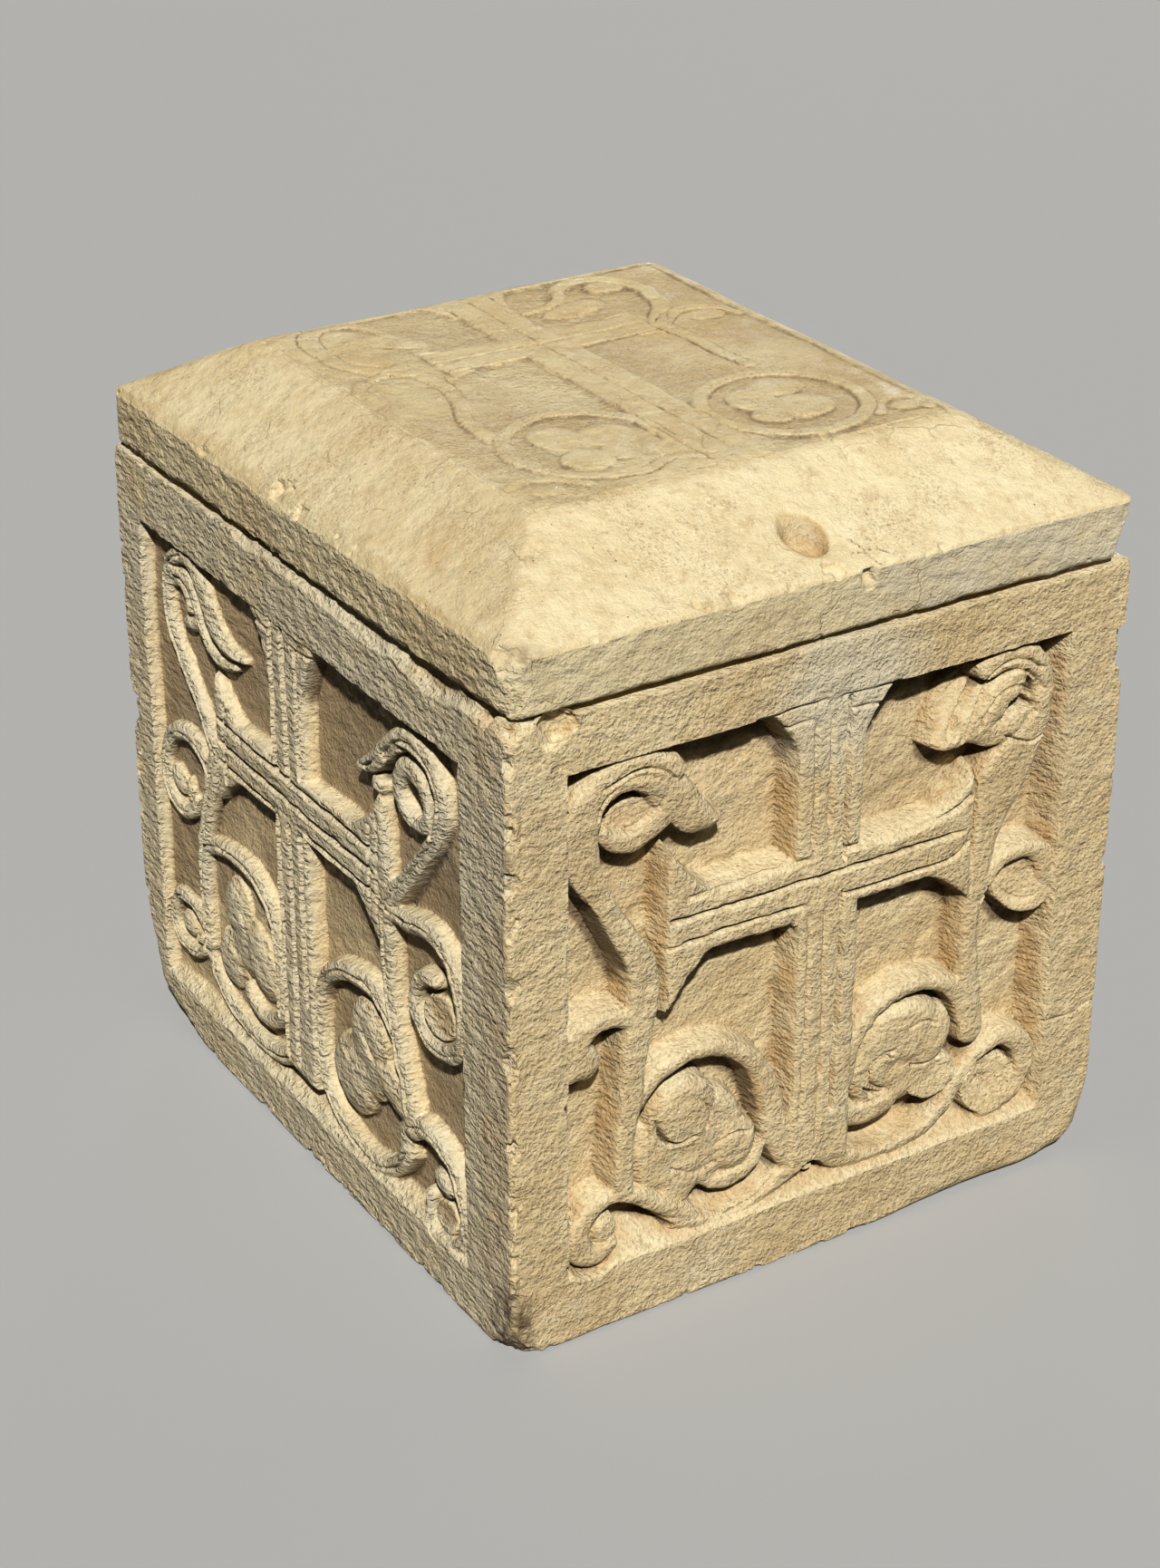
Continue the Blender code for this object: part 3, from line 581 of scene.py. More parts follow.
    side.leave_each((
        (wreath_far, 1.6, 5.0, 2.2), (wreath_far_foot, 1.8, 4.0, 2.0), (wreath_near, 1.6, 5.0, 2.2),
        (scroll_far, 1.8, 3.4, 2.0), (scroll_near, 1.4, 3.8, 2.0), (stem_far, 1.2, 3.8, 1.8),
        (stem_near, 1.2, 4.2, 1.8), (hook_far, 1.4, 3.8, 2.0), (hook_near, 1.2, 4.2, 2.0),
        (leaf_far, 1.0, 6.0, 2.6), (leaf_far_inner, 2.0, 3.4, 2.0), (eye_far, 2.8, 2.4, 1.6),
        (lip_far, 2.6, 2.6, 1.8), (ring_near, 1.8, 3.4, 2.0), (spur_near, 1.6, 4.0, 2.0),
        (Oval(33.6, 22.6, 5.4, 5.0), 3.4, 10, 2.4), (Oval(30.9, 28.0, 4.3, 5.3, -8), 2.2, 9, 3.4),
        (Oval(38.2, 22.4, 6.4, 4.2, -58), 2.2, 9, 3.4), (Oval(28.2, 18.0, 4.7, 4.8), 2.4, 9, 3.4),
        (tendril_far, 2.2, 3.0, 2.2),
        (Oval(71.4, 21.6, 6.4, 5.0), 3.4, 10, 2.4), (Oval(71.9, 27.0, 5.5, 5.6), 2.2, 10, 3.6),
        (Oval(67.0, 18.0, 6.3, 6.2), 2.4, 10, 3.6), (neck_near, 2.6, 8, 2.6),
        (Oval(13.2, 42.4, 2.8, 2.2, -20), 2.0, 6, 2.6), (Oval(17.0, 41.6, 1.2, 2.6, 8), 2.4, 5, 2.0),
        (Oval(13.2, 16.9, 2.4, 2.0, -15), 2.8, 6, 2.2), (Oval(17.0, 15.9, 1.4, 1.1), 3.0, 4, 1.8),
        (Oval(93.2, 14.2, 2.7, 1.6, -10), 2.4, 5, 2.2), (Oval(77.4, 69.6, 1.7, 1.3), 2.6, 5, 2.2),
        (Oval(82.4, 15.2, 2.4, 3.4), 2.6, 6, 2.4),
    ))
    side.swell = 0.0
    side.bowl(Oval(92.9, 41.0, 3.7, 2.9, -15), 2.2, 1.6, 3.0, 60)
    side.bowl(Oval(93.8, 8.9, 2.8, 2.1, -10), 2.6, 1.4, 2.2, 80)

    # Scooped middles of the buds' petals, and the drilled eyes: (oval, depth below the face).
    scoops = (
        (Oval(33.8, 26.6, 3.2, 0.6, -62), 4.0), (Oval(29.8, 20.8, 2.8, 0.6, -20), 4.2),
        (Oval(72.8, 26.0, 3.2, 0.7, -48), 4.2), (Oval(67.4, 20.8, 2.8, 0.6, -30), 4.2),
        (Oval(18.2, 74.8, 1.6, 1.8), 6.4), (Oval(24.0, 69.4, 3.2, 0.9, 2), 7.0),
        (Oval(88.0, 72.2, 1.9, 1.5, 20), 9.0), (Oval(15.4, 14.6, 2.4, 0.7, 14), 5.6),
    )
    for oval, depth in scoops:
        inside = side.in_oval(oval)
        side.depth += np.maximum(depth - side.depth, 0) * smooth_step(inside / 2.2 + 0.25)

    # The strands are cut in two along their middle: (rows, place across the strand, width, depth).
    for rows, share, width, depth in (
        (stem_far, 0.05, 2.6, 2.6), (hook_far, 0.1, 2.2, 2.0), (scroll_far, 0.1, 2.0, 1.7),
        (wreath_far, 0.1, 2.6, 2.6), (wreath_far_foot, -0.1, 2.4, 2.4), (wreath_near, 0.0, 2.7, 2.9),
        (stem_near, 0.1, 2.6, 2.6), (hook_near, 0.1, 2.2, 1.5), (scroll_near, 0.1, 2.0, 1.4),
        (leaf_far_inner, 0.2, 1.8, 0.8),
    ):
        side.split(rows, share, width, depth)

    # Incised lines down and along the cross, and in the leaf and the scroll beside it.
    lines = (
        ([(48.9, 83.0), (48.8, 70.0), (48.8, 60.5)], 4.4, 4.2),
        ([(52.4, 83.0), (52.5, 70.0), (52.5, 60.5)], 4.4, 4.2),
        ([(56.2, 81.0), (56.1, 70.0), (56.2, 61.5)], 3.4, 3.2),
        ([(48.6, 52.0), (48.5, 36.0), (48.5, 12.0)], 4.4, 4.2),
        ([(52.0, 52.0), (52.1, 36.0), (52.0, 12.0)], 4.4, 4.2),
        ([(55.6, 52.0), (55.6, 36.0), (55.4, 24.0)], 4.2, 4.0),
        ([(30.4, 59.8), (40.0, 59.6), (52.0, 59.5), (66.0, 59.5), (77.0, 59.4)], 4.0, 3.6),
        ([(30.4, 56.2), (40.0, 56.1), (52.0, 56.0), (66.0, 56.0), (77.0, 56.2)], 4.0, 3.8),
        ([(30.4, 52.9), (40.0, 52.9), (47.5, 52.8)], 3.6, 3.4),
        ([(57.5, 52.8), (66.0, 52.8), (77.0, 53.0)], 3.6, 3.4),
        ([(44.0, 81.6), (49.0, 81.4)], 3.0, 1.6),
        ([(55.0, 81.4), (62.0, 81.6)], 3.0, 1.6),
        ([(31.8, 50.0), (31.6, 56.5), (31.9, 63.0)], 3.0, 1.8),
        ([(76.2, 51.0), (76.0, 57.0), (76.2, 63.0)], 3.0, 1.6),
        ([(30.6, 64.4), (32.6, 64.2), (33.2, 62.6), (31.8, 61.4)], 2.4, 1.8),
        ([(16.6, 79.4), (21.4, 80.1), (24.3, 77.2), (26.1, 73.4),
          (28.4, 71.2), (32.6, 70.5), (37.0, 71.4)], 3.0, 3.0),
        ([(16.6, 77.6), (19.4, 77.9), (21.8, 76.2), (22.4, 73.6)], 2.2, 1.8),
        ([(80.6, 75.0), (84.0, 78.2), (88.0, 78.7), (91.4, 76.8), (92.7, 73.0), (92.6, 68.6)], 3.4, 2.8),
        ([(47.8, 34.0), (48.3, 26.0), (48.8, 18.0)], 2.4, 1.4),
    )
    side.groove_each(lines, sharp=0.8, worn=0.5)


# ---------------------------------------------------------------- the plainer back and right sides

def carve_plain(side, length):
    """A cross over two rings, in a shallower panel."""
    axis = length / 2
    side.sink_panel(9.5, length - 9.5, 6.0, 84.0, 9.5, (2.5, 2.5, 1.2, 4.0))
    u, v = side.u, side.v
    side.leave_cross((
        (v - 57, u - axis, 4.7, 9.4, 17.0, 29.0),
        (57 - v, u - axis, 4.7, 4.7, 40.0, 44.5),
        (axis - u, v - 57, 4.7, 9.4, 16.0, 25.0),
        (u - axis, v - 57, 4.7, 9.4, 16.0, 25.0),
    ), 1.0, 2.4, 1.4)
    for sign in (-1, 1):
        boss = Oval(axis + sign * 20, 21.2, 5.3, 5.3)
        ring = 1.25 - np.abs(np.hypot(u - boss.u, v - boss.v) - 11.25)
        side.leave(ring * UNIT, 2.2, 3.6, 1.6)
        side.leave(side.in_oval(boss), 3.2, 14, 3.0)
    for middle, end in ((58.0, 58.2), (56.0, 55.8)):
        side.groove([(axis - 24, end), (axis, middle), (axis + 24, end)], 2.4, 1.6)
    for top, foot, foot_gap in ((84, 60, 1.2), (54, 14, 1.0)):
        for sign in (-1, 1):
            side.groove([(axis + sign * 1.2, top), (axis + sign * foot_gap, foot)], 2.4, 1.4)


# ---------------------------------------------------------------- the lid's top

LID_INSETS = (15.9, 16.9, 19.1, 18.4)  # left, right, front and back, from the edge to the flat top
LID_RISE_SHARE = 32.5 / 60.0  # of the lid's height, above its square edge
DIMPLE = Oval(49.0, 7.0, 3.7, 3.0, -40)
HIP_SOFTNESS = 5.0
LID_SEED = 6
# A direction square to each slope, outward.
LID_SLOPES = {
    "left": (-32.5, 0, 51), "front": (0, -32.5, 61), "right": (32.5, 0, 54), "back": (0, 32.5, 59),
}


def carve_lid(side):
    """The flat repeats the front's cross and vines, all but worn away, and the front slope has a dimple."""
    side.sink_panel(16.3, 82.8, 20.0, 95.0, 0.95, (0.7,) * 4, soft=0.5)
    u, v = side.u, side.v
    side.leave_cross((
        (v - 72.2, u - 49.2, 4.2, 8.0, 15.0, 24.0),
        (72.2 - v, u - 49.2, 4.3, 4.3, 40.0, 53.0),
        (49.2 - u, v - 72.2, 4.0, 6.0, 12.0, 17.2),
        (u - 49.2, v - 72.2, 4.0, 6.0, 12.0, 18.0),
    ), 0.15, 1.6, 0.3, steep=0.9, soft=0.25)
    vine_left = [
        (44.4, 31.3, 1.1), (44.4, 39.0, 1.2), (40.3, 45.0, 1.3), (34.2, 47.4, 1.3), (28.4, 45.4, 1.2),
        (24.0, 41.0, 1.2), (22.9, 35.2, 1.2), (25.1, 28.9, 1.2), (29.2, 25.0, 1.2), (35.4, 23.3, 1.2),
        (41.1, 25.4, 1.2), (46.0, 22.5, 1.2),
    ]
    stem_left = [
        (24.3, 43.0, 1.3), (24.6, 50.9, 1.3), (27.2, 57.2, 1.3), (28.8, 63.5, 1.4), (28.0, 70.5, 1.6),
        (23.9, 75.2, 1.5), (21.0, 79.2, 1.5), (20.6, 84.6, 1.6), (21.0, 89.8, 1.7), (23.3, 93.6, 1.7),
        (26.8, 94.6, 1.6), (30.0, 93.2, 1.4), (31.8, 90.0, 1.2), (32.3, 86.2, 0.8),
    ]
    hook_left = [
        (28.0, 71.0, 1.4), (24.3, 72.9, 1.2), (20.4, 71.9, 1.2), (18.0, 68.8, 1.2), (18.4, 65.8, 1.1),
    ]
    stem_right = [
        (69.7, 49.3, 1.2), (69.1, 55.6, 1.2), (69.0, 63.5, 1.4), (68.5, 69.7, 1.7), (70.3, 73.5, 1.5),
        (73.4, 77.6, 1.5), (74.8, 83.1, 1.5), (74.3, 88.0, 1.6), (71.4, 91.8, 1.6), (66.8, 93.0, 1.4),
        (63.6, 90.7, 1.2), (61.3, 86.9, 1.1), (57.4, 85.2, 0.9), (54.0, 84.6, 0.6),
    ]
    around = np.linspace(-1.6, 4.5, 22)
    vine_right = [(65.0 + 11.4 * math.cos(turn), 34.2 + 11.6 * math.sin(turn), 1.3) for turn in around]
    hook_right = [
        (68.7, 69.7, 1.4), (72.0, 72.7, 1.3), (76.1, 74.0, 1.2), (79.6, 72.1, 1.2), (81.0, 68.8, 1.0),
    ]
    scroll_right = [
        (73.6, 24.2, 1.0), (75.6, 27.2, 1.1), (79.2, 28.4, 1.1), (81.6, 26.2, 1.1), (81.2, 22.8, 1.0),
    ]
    scroll_left = [(17.6, 27.8, 1.0), (20.8, 28.7, 1.1), (24.2, 27.4, 1.1), (26.6, 24.0, 1.0)]
    worn_shapes = (
        vine_left, stem_left, hook_left, stem_right, vine_right, hook_right, scroll_right, scroll_left,
        Oval(31.6, 38.6, 3.6, 4.8, 10), Oval(38.0, 36.4, 3.8, 4.2), Oval(31.2, 30.6, 3.6, 3.6),
        Oval(36.8, 30.6, 3.3, 3.0), Oval(61.7, 36.8, 3.3, 4.2), Oval(67.3, 39.6, 4.0, 3.4),
        Oval(66.4, 31.8, 4.4, 4.0), Oval(61.2, 31.0, 3.0, 2.6), Oval(30.0, 85.2, 7.0, 2.6, -48),
        Oval(61.4, 82.6, 5.4, 2.6, 14), Oval(70.6, 88.6, 3.0, 2.4), Oval(26.0, 90.0, 2.6, 2.4),
        Oval(23.4, 68.6, 2.8, 2.2), Oval(76.4, 70.2, 3.2, 2.0), Oval(78.8, 24.4, 2.3, 1.6),
        Oval(21.0, 24.4, 2.4, 1.7),
    )
    for shape in worn_shapes:
        side.leave(side.inside(shape), 0.15, 2.6, 0.4, steep=0.8, soft=0.3)

    lines = [
        [(16.0, 94.0), (15.8, 70.0), (16.1, 45.0), (15.9, 20.0)],
        [(16.6, 20.0), (30.0, 19.8), (44.0, 20.2)], [(49.0, 19.8), (63.0, 20.2)],
        [(67.0, 19.7), (82.4, 20.0)], [(62.0, 21.6), (62.8, 18.2), (62.2, 15.0)],
        [(44.7, 66.5), (44.9, 45.0), (44.7, 22.6)], [(53.5, 66.5), (53.4, 45.0), (53.6, 22.8)],
        [(49.4, 94.0), (49.2, 60.0), (49.4, 24.0)],
        [(45.2, 93.0), (45.0, 77.6)], [(53.2, 93.0), (53.3, 77.6)],
        [(32.4, 76.5), (38.0, 76.3), (44.6, 76.4)], [(53.8, 76.4), (60.0, 76.2), (67.0, 76.5)],
        [(32.2, 72.6), (49.0, 72.2), (67.2, 72.0)],
        [(32.2, 68.3), (44.6, 68.1)], [(53.8, 68.1), (66.8, 68.2)],
    ]
    side.groove_each((rows, 2.2, 1.0) for rows in lines)
    for rows in (vine_left, stem_left, stem_right, vine_right, hook_left, hook_right):
        side.split(rows, 0.95, 2.2, 0.9)
        side.split(rows, -0.95, 2.2, 0.7)
    side.groove([(54.6, 5.4), (55.8, 3.4), (56.4, 1.4), (56.9, 0.2)], 1.0, 1.0, worn=0.4)
    side.groove([(53.9, 3.2), (55.7, 2.6), (57.6, 2.9), (59.6, 1.2), (61.0, 0.3)], 0.9, 0.8, worn=0.6)
    dimple = side.in_oval(DIMPLE)
    side.hollowness = side.depth.copy()
    side.depth += 7.6 * smooth_step(dimple / 4.4) + 1.0 * smooth_step((dimple + 2.5) / 3.5)


# ---------------------------------------------------------------- worn and broken boxes

def worn_box(points, low, high, radius):
    """Rounds a box's edges by a radius given at each point. Returns places and outward directions."""
    inner = np.clip(points, low + radius[:, None], high - radius[:, None])
    away = points - inner
    length = np.linalg.norm(away, axis=1, keepdims=True)
    out = away / np.maximum(length, 1e-9)
    return inner + out * np.minimum(length, radius[:, None]), out


def bump_at(points, centre, reach):
    """1 at a place, falling smoothly to 0 at `reach` from it."""
    return smooth_step(1 - np.linalg.norm(points - np.asarray(centre, float), axis=1) / reach)


def break_plane(points, corner, direction, depth, share, rough, seed):
    """Breaks away what stands past a rough plane, `depth` times a share below a corner.

    Where the share is 0, the plane lies too far out to break anything.
    """
    direction = np.asarray(direction, float)
    direction = direction / np.linalg.norm(direction)
    jagged = layered_noise(points, 9.0, seed, 3) * depth * rough
    reach = np.asarray(corner, float) @ direction - depth * share + jagged + (share == 0) * 99
    over = np.maximum(points @ direction - reach, 0)
    return points - direction * over[:, None]


def round_arris(points, corner, first, second, radius, seed):
    """Rounds the arris between two faces, given by their outward directions, to a wandering radius."""
    first = np.asarray(first, float) / np.linalg.norm(first)
    second = np.asarray(second, float) / np.linalg.norm(second)
    turn = math.acos(float(first @ second))
    radius = radius * (1 + 0.6 * layered_noise(points, 22, seed, 3))
    for share in (0.17, 0.39, 0.61, 0.83):
        direction = first * math.sin((1 - share) * turn) + second * math.sin(share * turn)
        direction /= np.linalg.norm(direction)
        depth = radius * (math.cos((share - 0.5) * turn) / math.cos(turn / 2) - 1)
        over = np.maximum(points @ direction - np.asarray(corner, float) @ direction + depth, 0)
        points = points - direction * over[:, None]
    return points


def strike(points, centre, radius):
    """A rough scooped chip: pushes what lies inside a ball out to its surface, in place."""
    near = np.flatnonzero(np.abs(points - centre).max(axis=1) < 1.3 * radius)
    away = points[near] - centre
    reach = radius * (1 + 0.22 * value_noise(points[near] / 3.0, 77))
    gap = np.linalg.norm(away, axis=1)
    inside = gap < reach
    push = (reach / np.maximum(gap, 1e-6))[inside, None]
    points[near[inside]] = centre + away[inside] * push


def chip_edge(points, start, end, outward, count, depths, radii, rng):
    """Small random chips along an edge."""
    start, end = np.asarray(start, float), np.asarray(end, float)
    outward = np.asarray(outward, float)
    for _ in range(count):
        place = start + (end - start) * rng.random()
        tilt = rng.normal(0, 0.35, 3)
        direction = outward / np.linalg.norm(outward) + tilt
        direction /= np.linalg.norm(direction)
        depth = depths[0] + (depths[1] - depths[0]) * rng.random() ** 3
        radius = radii[0] + (radii[1] - radii[0]) * rng.random()
        strike(points, place + direction * (radius - depth), radius)


# ---------------------------------------------------------------- meshes

def at_corner(signs, height):
    """A corner or the middle of an edge of a box, from the signs of its x, y and height."""
    return np.array(signs) * (HALF_X, HALF_Y, height)


def nested_rings(x, y, rows):
    """The points of one ring for each row, which holds its inset from the outer edge and its height."""
    insets, levels = np.array(rows).T
    return np.stack([
        np.outer(1 - insets / HALF_X, x * HALF_X),
        np.outer(1 - insets / HALF_Y, y * HALF_Y),
        np.outer(levels, np.ones(len(x))),
    ], axis=-1).reshape(-1, 3)


def perimeter(counts):
    """Places round a rectangle, from the near left corner along the front, as shares of half sizes."""
    front, right, back, left = counts
    x = [*np.linspace(-1, 1, front, endpoint=False), *np.ones(right)]
    x += [*np.linspace(1, -1, back, endpoint=False), *-np.ones(left)]
    y = [*-np.ones(front), *np.linspace(-1, 1, right, endpoint=False)]
    y += [*np.ones(back), *np.linspace(1, -1, left, endpoint=False)]
    return np.array(x), np.array(y)


def ring_faces(rings):
    """Quads between rows of point numbers, closed round each row."""
    after = np.roll(rings, -1, axis=1)
    return np.stack([rings[:-1], after[:-1], after[1:], rings[1:]], axis=-1).reshape(-1, 4)


def fan_faces(ring, centre, upward):
    after = np.roll(ring, -1)
    middle = np.full(len(ring), centre)
    rows = (ring, after, middle) if upward else (after, ring, middle)
    return np.stack(rows, axis=-1)


def build_mesh(name, points, quads, triangles, marks):
    """A mesh in metres from millimetres; marks are numbers kept at each point."""
    mesh = bpy.data.meshes.new(name)
    mesh.vertices.add(len(points))
    mesh.vertices.foreach_set("co", (points * MM).astype(np.float32).ravel())
    corners = np.concatenate([quads.ravel(), triangles.ravel()]).astype(np.int32)
    sizes = np.concatenate([np.full(len(quads), 4), np.full(len(triangles), 3)])
    mesh.loops.add(len(corners))
    mesh.loops.foreach_set("vertex_index", corners)
    mesh.polygons.add(len(sizes))
    mesh.polygons.foreach_set("loop_start", (np.cumsum(sizes) - sizes).astype(np.int32))
    mesh.update(calc_edges=True)
    for mark, values in marks.items():
        made = mesh.attributes.new(mark, "FLOAT", "POINT")
        made.data.foreach_set("value", values.astype(np.float32))
    mesh.validate()
    return mesh


def thin_out(name, mesh, triangles, low, high):
    """An object whose flat stretches have fewer faces, and which stays inside its box, in metres."""
    rough = bpy.data.objects.new(name + "_rough", mesh)
    bpy.context.scene.collection.objects.link(rough)
    have = sum(len(p.vertices) - 2 for p in mesh.polygons)
    modifier = rough.modifiers.new("thin", "DECIMATE")
    modifier.ratio = min(triangles / have, 1.0)
    graph = bpy.context.evaluated_depsgraph_get()
    thinned = bpy.data.meshes.new_from_object(rough.evaluated_get(graph))
    bpy.data.objects.remove(rough, do_unlink=True)
    bpy.data.meshes.remove(mesh)
    thinned.name = name
    places = np.empty(len(thinned.vertices) * 3, np.float32)
    thinned.vertices.foreach_get("co", places)
    places = np.clip(places.reshape(-1, 3), np.array(low) + 1e-5, np.array(high) - 1e-5)
    thinned.vertices.foreach_set("co", places.astype(np.float32).ravel())
    thinned.shade_smooth()
    thinned.set_sharp_from_angle(angle=math.radians(22))
    obj = bpy.data.objects.new(name, thinned)
    bpy.context.scene.collection.objects.link(obj)
    return obj


def blurred(grid, cells):
    """A grid averaged over about `cells` each way, three times over."""
    for _ in range(3):
        for axis in (0, 1):
            ends = [np.repeat(np.take(grid, [end], axis), cells, axis) for end in (0, -1)]
            padded = np.concatenate([ends[0], grid, ends[1]], axis)
            total = np.cumsum(padded, axis)
            width = 2 * cells
            high = np.take(total, np.arange(width, total.shape[axis]), axis)
            low = np.take(total, np.arange(0, total.shape[axis] - width), axis)
            grid = (high - low) / width
    return grid


def body_sides(counts, heights):
    """The four carved sides by name, each with its columns from left to right as seen from outside."""
    made = {}
    for seed, (name, count) in enumerate(zip(SIDE_NAMES, counts), 1):
        length = WIDTH if name in ("front", "back") else DEPTH
        side = Side(np.linspace(0, length, count, endpoint=False), heights, seed, CARVING_BASE)
        if name == "front":
            carve_front(side)
        elif name == "left":
            carve_left(side)
        else:
            carve_plain(side, length / UNIT)
        finish_side(side, name)
        made[name] = side
    return made


def joined(sides, measure):
    """One measure of the four sides, in the order of the mesh's points."""
    return np.concatenate([getattr(sides[name], measure) for name in SIDE_NAMES], axis=1).ravel()


def finish_side(side, name):
    """The larger tool marks: scooped faces, dragged floors and chopped walls; fewer on the hidden sides."""
    sunk = ramp(side.depth, 3.0, 6.0)
    walls = clip01((side.floor - side.depth) / 3.0) * sunk
    rough = 1.0 if name in ("front", "left") else 0.15
    strokes = ((1.5, 1.0), 8) if name == "left" else ((1.0, 1.3), 38)
    scoops = clip01(0.75 - side.cells(7.5, 41, *strokes)) * 1.1
    drags = side.noise(4.2, 47, 2, (3.0, 1.0), 32) * 0.75
    chops = np.abs(side.noise(3.2, 53, 2, (4.0, 1.0), 14)) * 1.6
    swells = side.noise(24, 59, 3) * 0.7
    side.depth += rough * ((1 - sunk) * scoops + sunk * (1 - walls) * drags + walls * chops)
    side.depth += (swells + 0.35) * 0.55 + rough * side.noise(4.2, 43, 2) * 0.22
    side.crevice = find_crevices(side)
    side.hollowness = np.clip(side.depth - blurred(side.depth, 4 * BLUR_CELLS), -6, 6)
    # How steeply the stone overhangs each place, which sets where shade is painted below the ledges.
    side.shelter = sheltered(side.depth, side.v_mm)


def find_crevices(side):
    """How far each place lies below its close surroundings, in millimetres."""
    return np.clip(side.depth - blurred(side.depth, BLUR_CELLS), -2, 2)


def sheltered(depth, heights, reach=22.0):
    """How steeply the stone stands out above each place: rise over run, the most within a reach. It sets
    where shade is painted below the ledges.
    """
    steps = heights[1, 0] - heights[0, 0]
    steepest = np.zeros(depth.shape)
    for rows in range(1, int(reach / steps)):
        rise = depth[:-rows] - depth[rows:]
        steepest[:-rows] = np.maximum(steepest[:-rows], rise / (rows * steps))
    return np.minimum(steepest, 4)


def body_radius(points):
    """How far the edges are rounded: more at the rim, the foot, the near arris and the worn corners."""
    radius = 1.0 + 1.0 * clip01(layered_noise(points, 22, 71, 2) + 0.4)
    height = points[:, 2]
    radius += 1.0 * smooth_step(1 - height / 20) + 2.4 * smooth_step((height - BODY_HEIGHT + 10) / 8)
    near_arris = smooth_step(1 - np.hypot(points[:, 0] + HALF_X, points[:, 1] + HALF_Y) / 9)
    radius += (1.6 + 1.6 * layered_noise(points, 20, 73, 2)) * near_arris
    right_foot, under_right = (HALF_X, -HALF_Y, 0), (0.28 * WIDTH, -HALF_Y, 0)
    radius += 14 * bump_at(points, right_foot, 46) + 7 * bump_at(points, under_right, 75)
    for signs, more, reach in (((-1, 1, 0), 22, 75), ((-1, -1, 1), 7, 30), ((1, 1, 0), 4, 40)):
        radius += more * bump_at(points, at_corner(signs, BODY_HEIGHT), reach)
    return radius


def carve_body(points, inward, low, high):
    """Rounds the edges, and sinks each point by its depth of carving and a little roughness."""
    points, out = worn_box(points, low, high, body_radius(points))
    near_edge = np.minimum(np.sort(np.minimum(points - low, high - points), axis=1)[:, 1], 6) / 6
    flat = np.abs(out).max(axis=1) ** 2
    points = points - out * (inward * smooth_step(near_edge) * flat)[:, None]
    return points - out * (0.05 + 0.2 * (layered_noise(points, 9, 77, 2) + 0.6))[:, None]


def sink_rim(points):
    """The rim sags unevenly towards the outer edge, which leaves the dark gap under the lid."""
    inset = np.minimum(HALF_X - np.abs(points[:, 0]), HALF_Y - np.abs(points[:, 1]))
    gap = (2.4 + 1.6 * layered_noise(points, 26, 79, 3)) * fall(inset, 40, 12)
    points[:, 2] = np.minimum(points[:, 2], BODY_HEIGHT - np.maximum(gap, 0.2))


def break_body(points):
    """The broken left rim, the near corner's top and foot, and the upper right arris."""
    along = points[:, 1]
    window = fall(along, 64, 14) * smooth_step((along + 172) / 8) * (1 + 0.35 * fall(along, -60, 40))
    ragged = 0.75 + 0.45 * layered_noise(points, 30, 83, 3)
    tall = ramp(points[:, 2], 252, 8)
    breaks = (
        ((-1, 0, 1), (-1, 0, 0.9), 6.9, window * ragged, 0.12, 85),
        ((-1, -1, 1), (-1, -0.55, 0.5), 5.0, 1.0, 0.3, 87),
        ((-1, -1, 0), (-1, -1, -0.9), 9.0, 1.0, 0.3, 89),
        ((1, -1, 0), (1, -0.5, 0), 1.0, tall, 0.3, 91),
    )
    for signs, *plane in breaks:
        points = break_plane(points, at_corner(signs, BODY_HEIGHT), *plane)
    return points


def chip_body(points):
    """Chips along the edges, and three larger ones near the top of the right arris."""
    rng = np.random.default_rng(12)
    # from one corner, to another, outward, how many, least and greatest depth, least and greatest radius
    edges = (
        ((-1, -1, 0), (-1, -1, 1), (-1, -1, 0), 55, (0.6, 5.2), (5, 14)),
        ((-1, -1, 0), (-1, -1, 1), (-1, -0.6, 0), 50, (0.3, 2.0), (2, 5)),
        ((1, -1, 0), (1, -1, 1), (1, -1, 0), 40, (0.2, 1.5), (3, 11)),
        ((-1, 1, 0), (-1, 1, 1), (-1, 1, 0), 16, (0.5, 5.5), (9, 24)),
        ((1, 1, 0), (1, 1, 1), (1, 1, 0), 30, (0.3, 2.4), (3, 11)),
        ((-1, -1, 0), (1, -1, 0), (0, -1, -1), 50, (0.4, 2.2), (4, 14)),
        ((-1, -1, 0), (-1, 1, 0), (-1, 0, -1), 60, (0.4, 2.8), (4, 15)),
        ((-1, -1, 1), (1, -1, 1), (0, -1, 1), 50, (0.3, 1.8), (3, 10)),
        ((-1, -1, 1), (-1, 1, 1), (-1, 0, 1), 60, (0.5, 3.6), (4, 13)),
        ((1, -1, 0), (1, 1, 0), (1, 0, -1), 40, (0.6, 3.0), (4, 14)),
        ((1, 1, 0), (-1, 1, 0), (0, 1, -1), 40, (0.6, 3.0), (4, 14)),
    )
    for start, end, *chips in edges:
        chip_edge(points, at_corner(start, BODY_HEIGHT), at_corner(end, BODY_HEIGHT), *chips, rng)
    for level, reach in ((270.0, 8.5), (260.0, 9.5), (251.0, 6.5)):
        strike(points, np.array([HALF_X + 3.0, -HALF_Y - 1.6, level]), reach)


def body_hollow(x, y):
    """The points of the hollow, ring by ring from its mouth down its walls and over its floor."""
    rows = [(WALL, BODY_HEIGHT - 2.0)]
    rows += [(WALL, level) for level in np.linspace(BODY_HEIGHT - 8, FLOOR + 4, 34)]
    rows += [(WALL + 1.5, FLOOR + 0.8)] + [(WALL + inset, FLOOR) for inset in (5, 22, 55, 90)]
    inner = nested_rings(x, y, rows)
    toward = inner * (1.0, 1.0, 0.0)
    toward /= np.linalg.norm(toward, axis=1, keepdims=True)
    return inner + toward * (0.8 * layered_noise(inner, 40, 95, 2))[:, None]


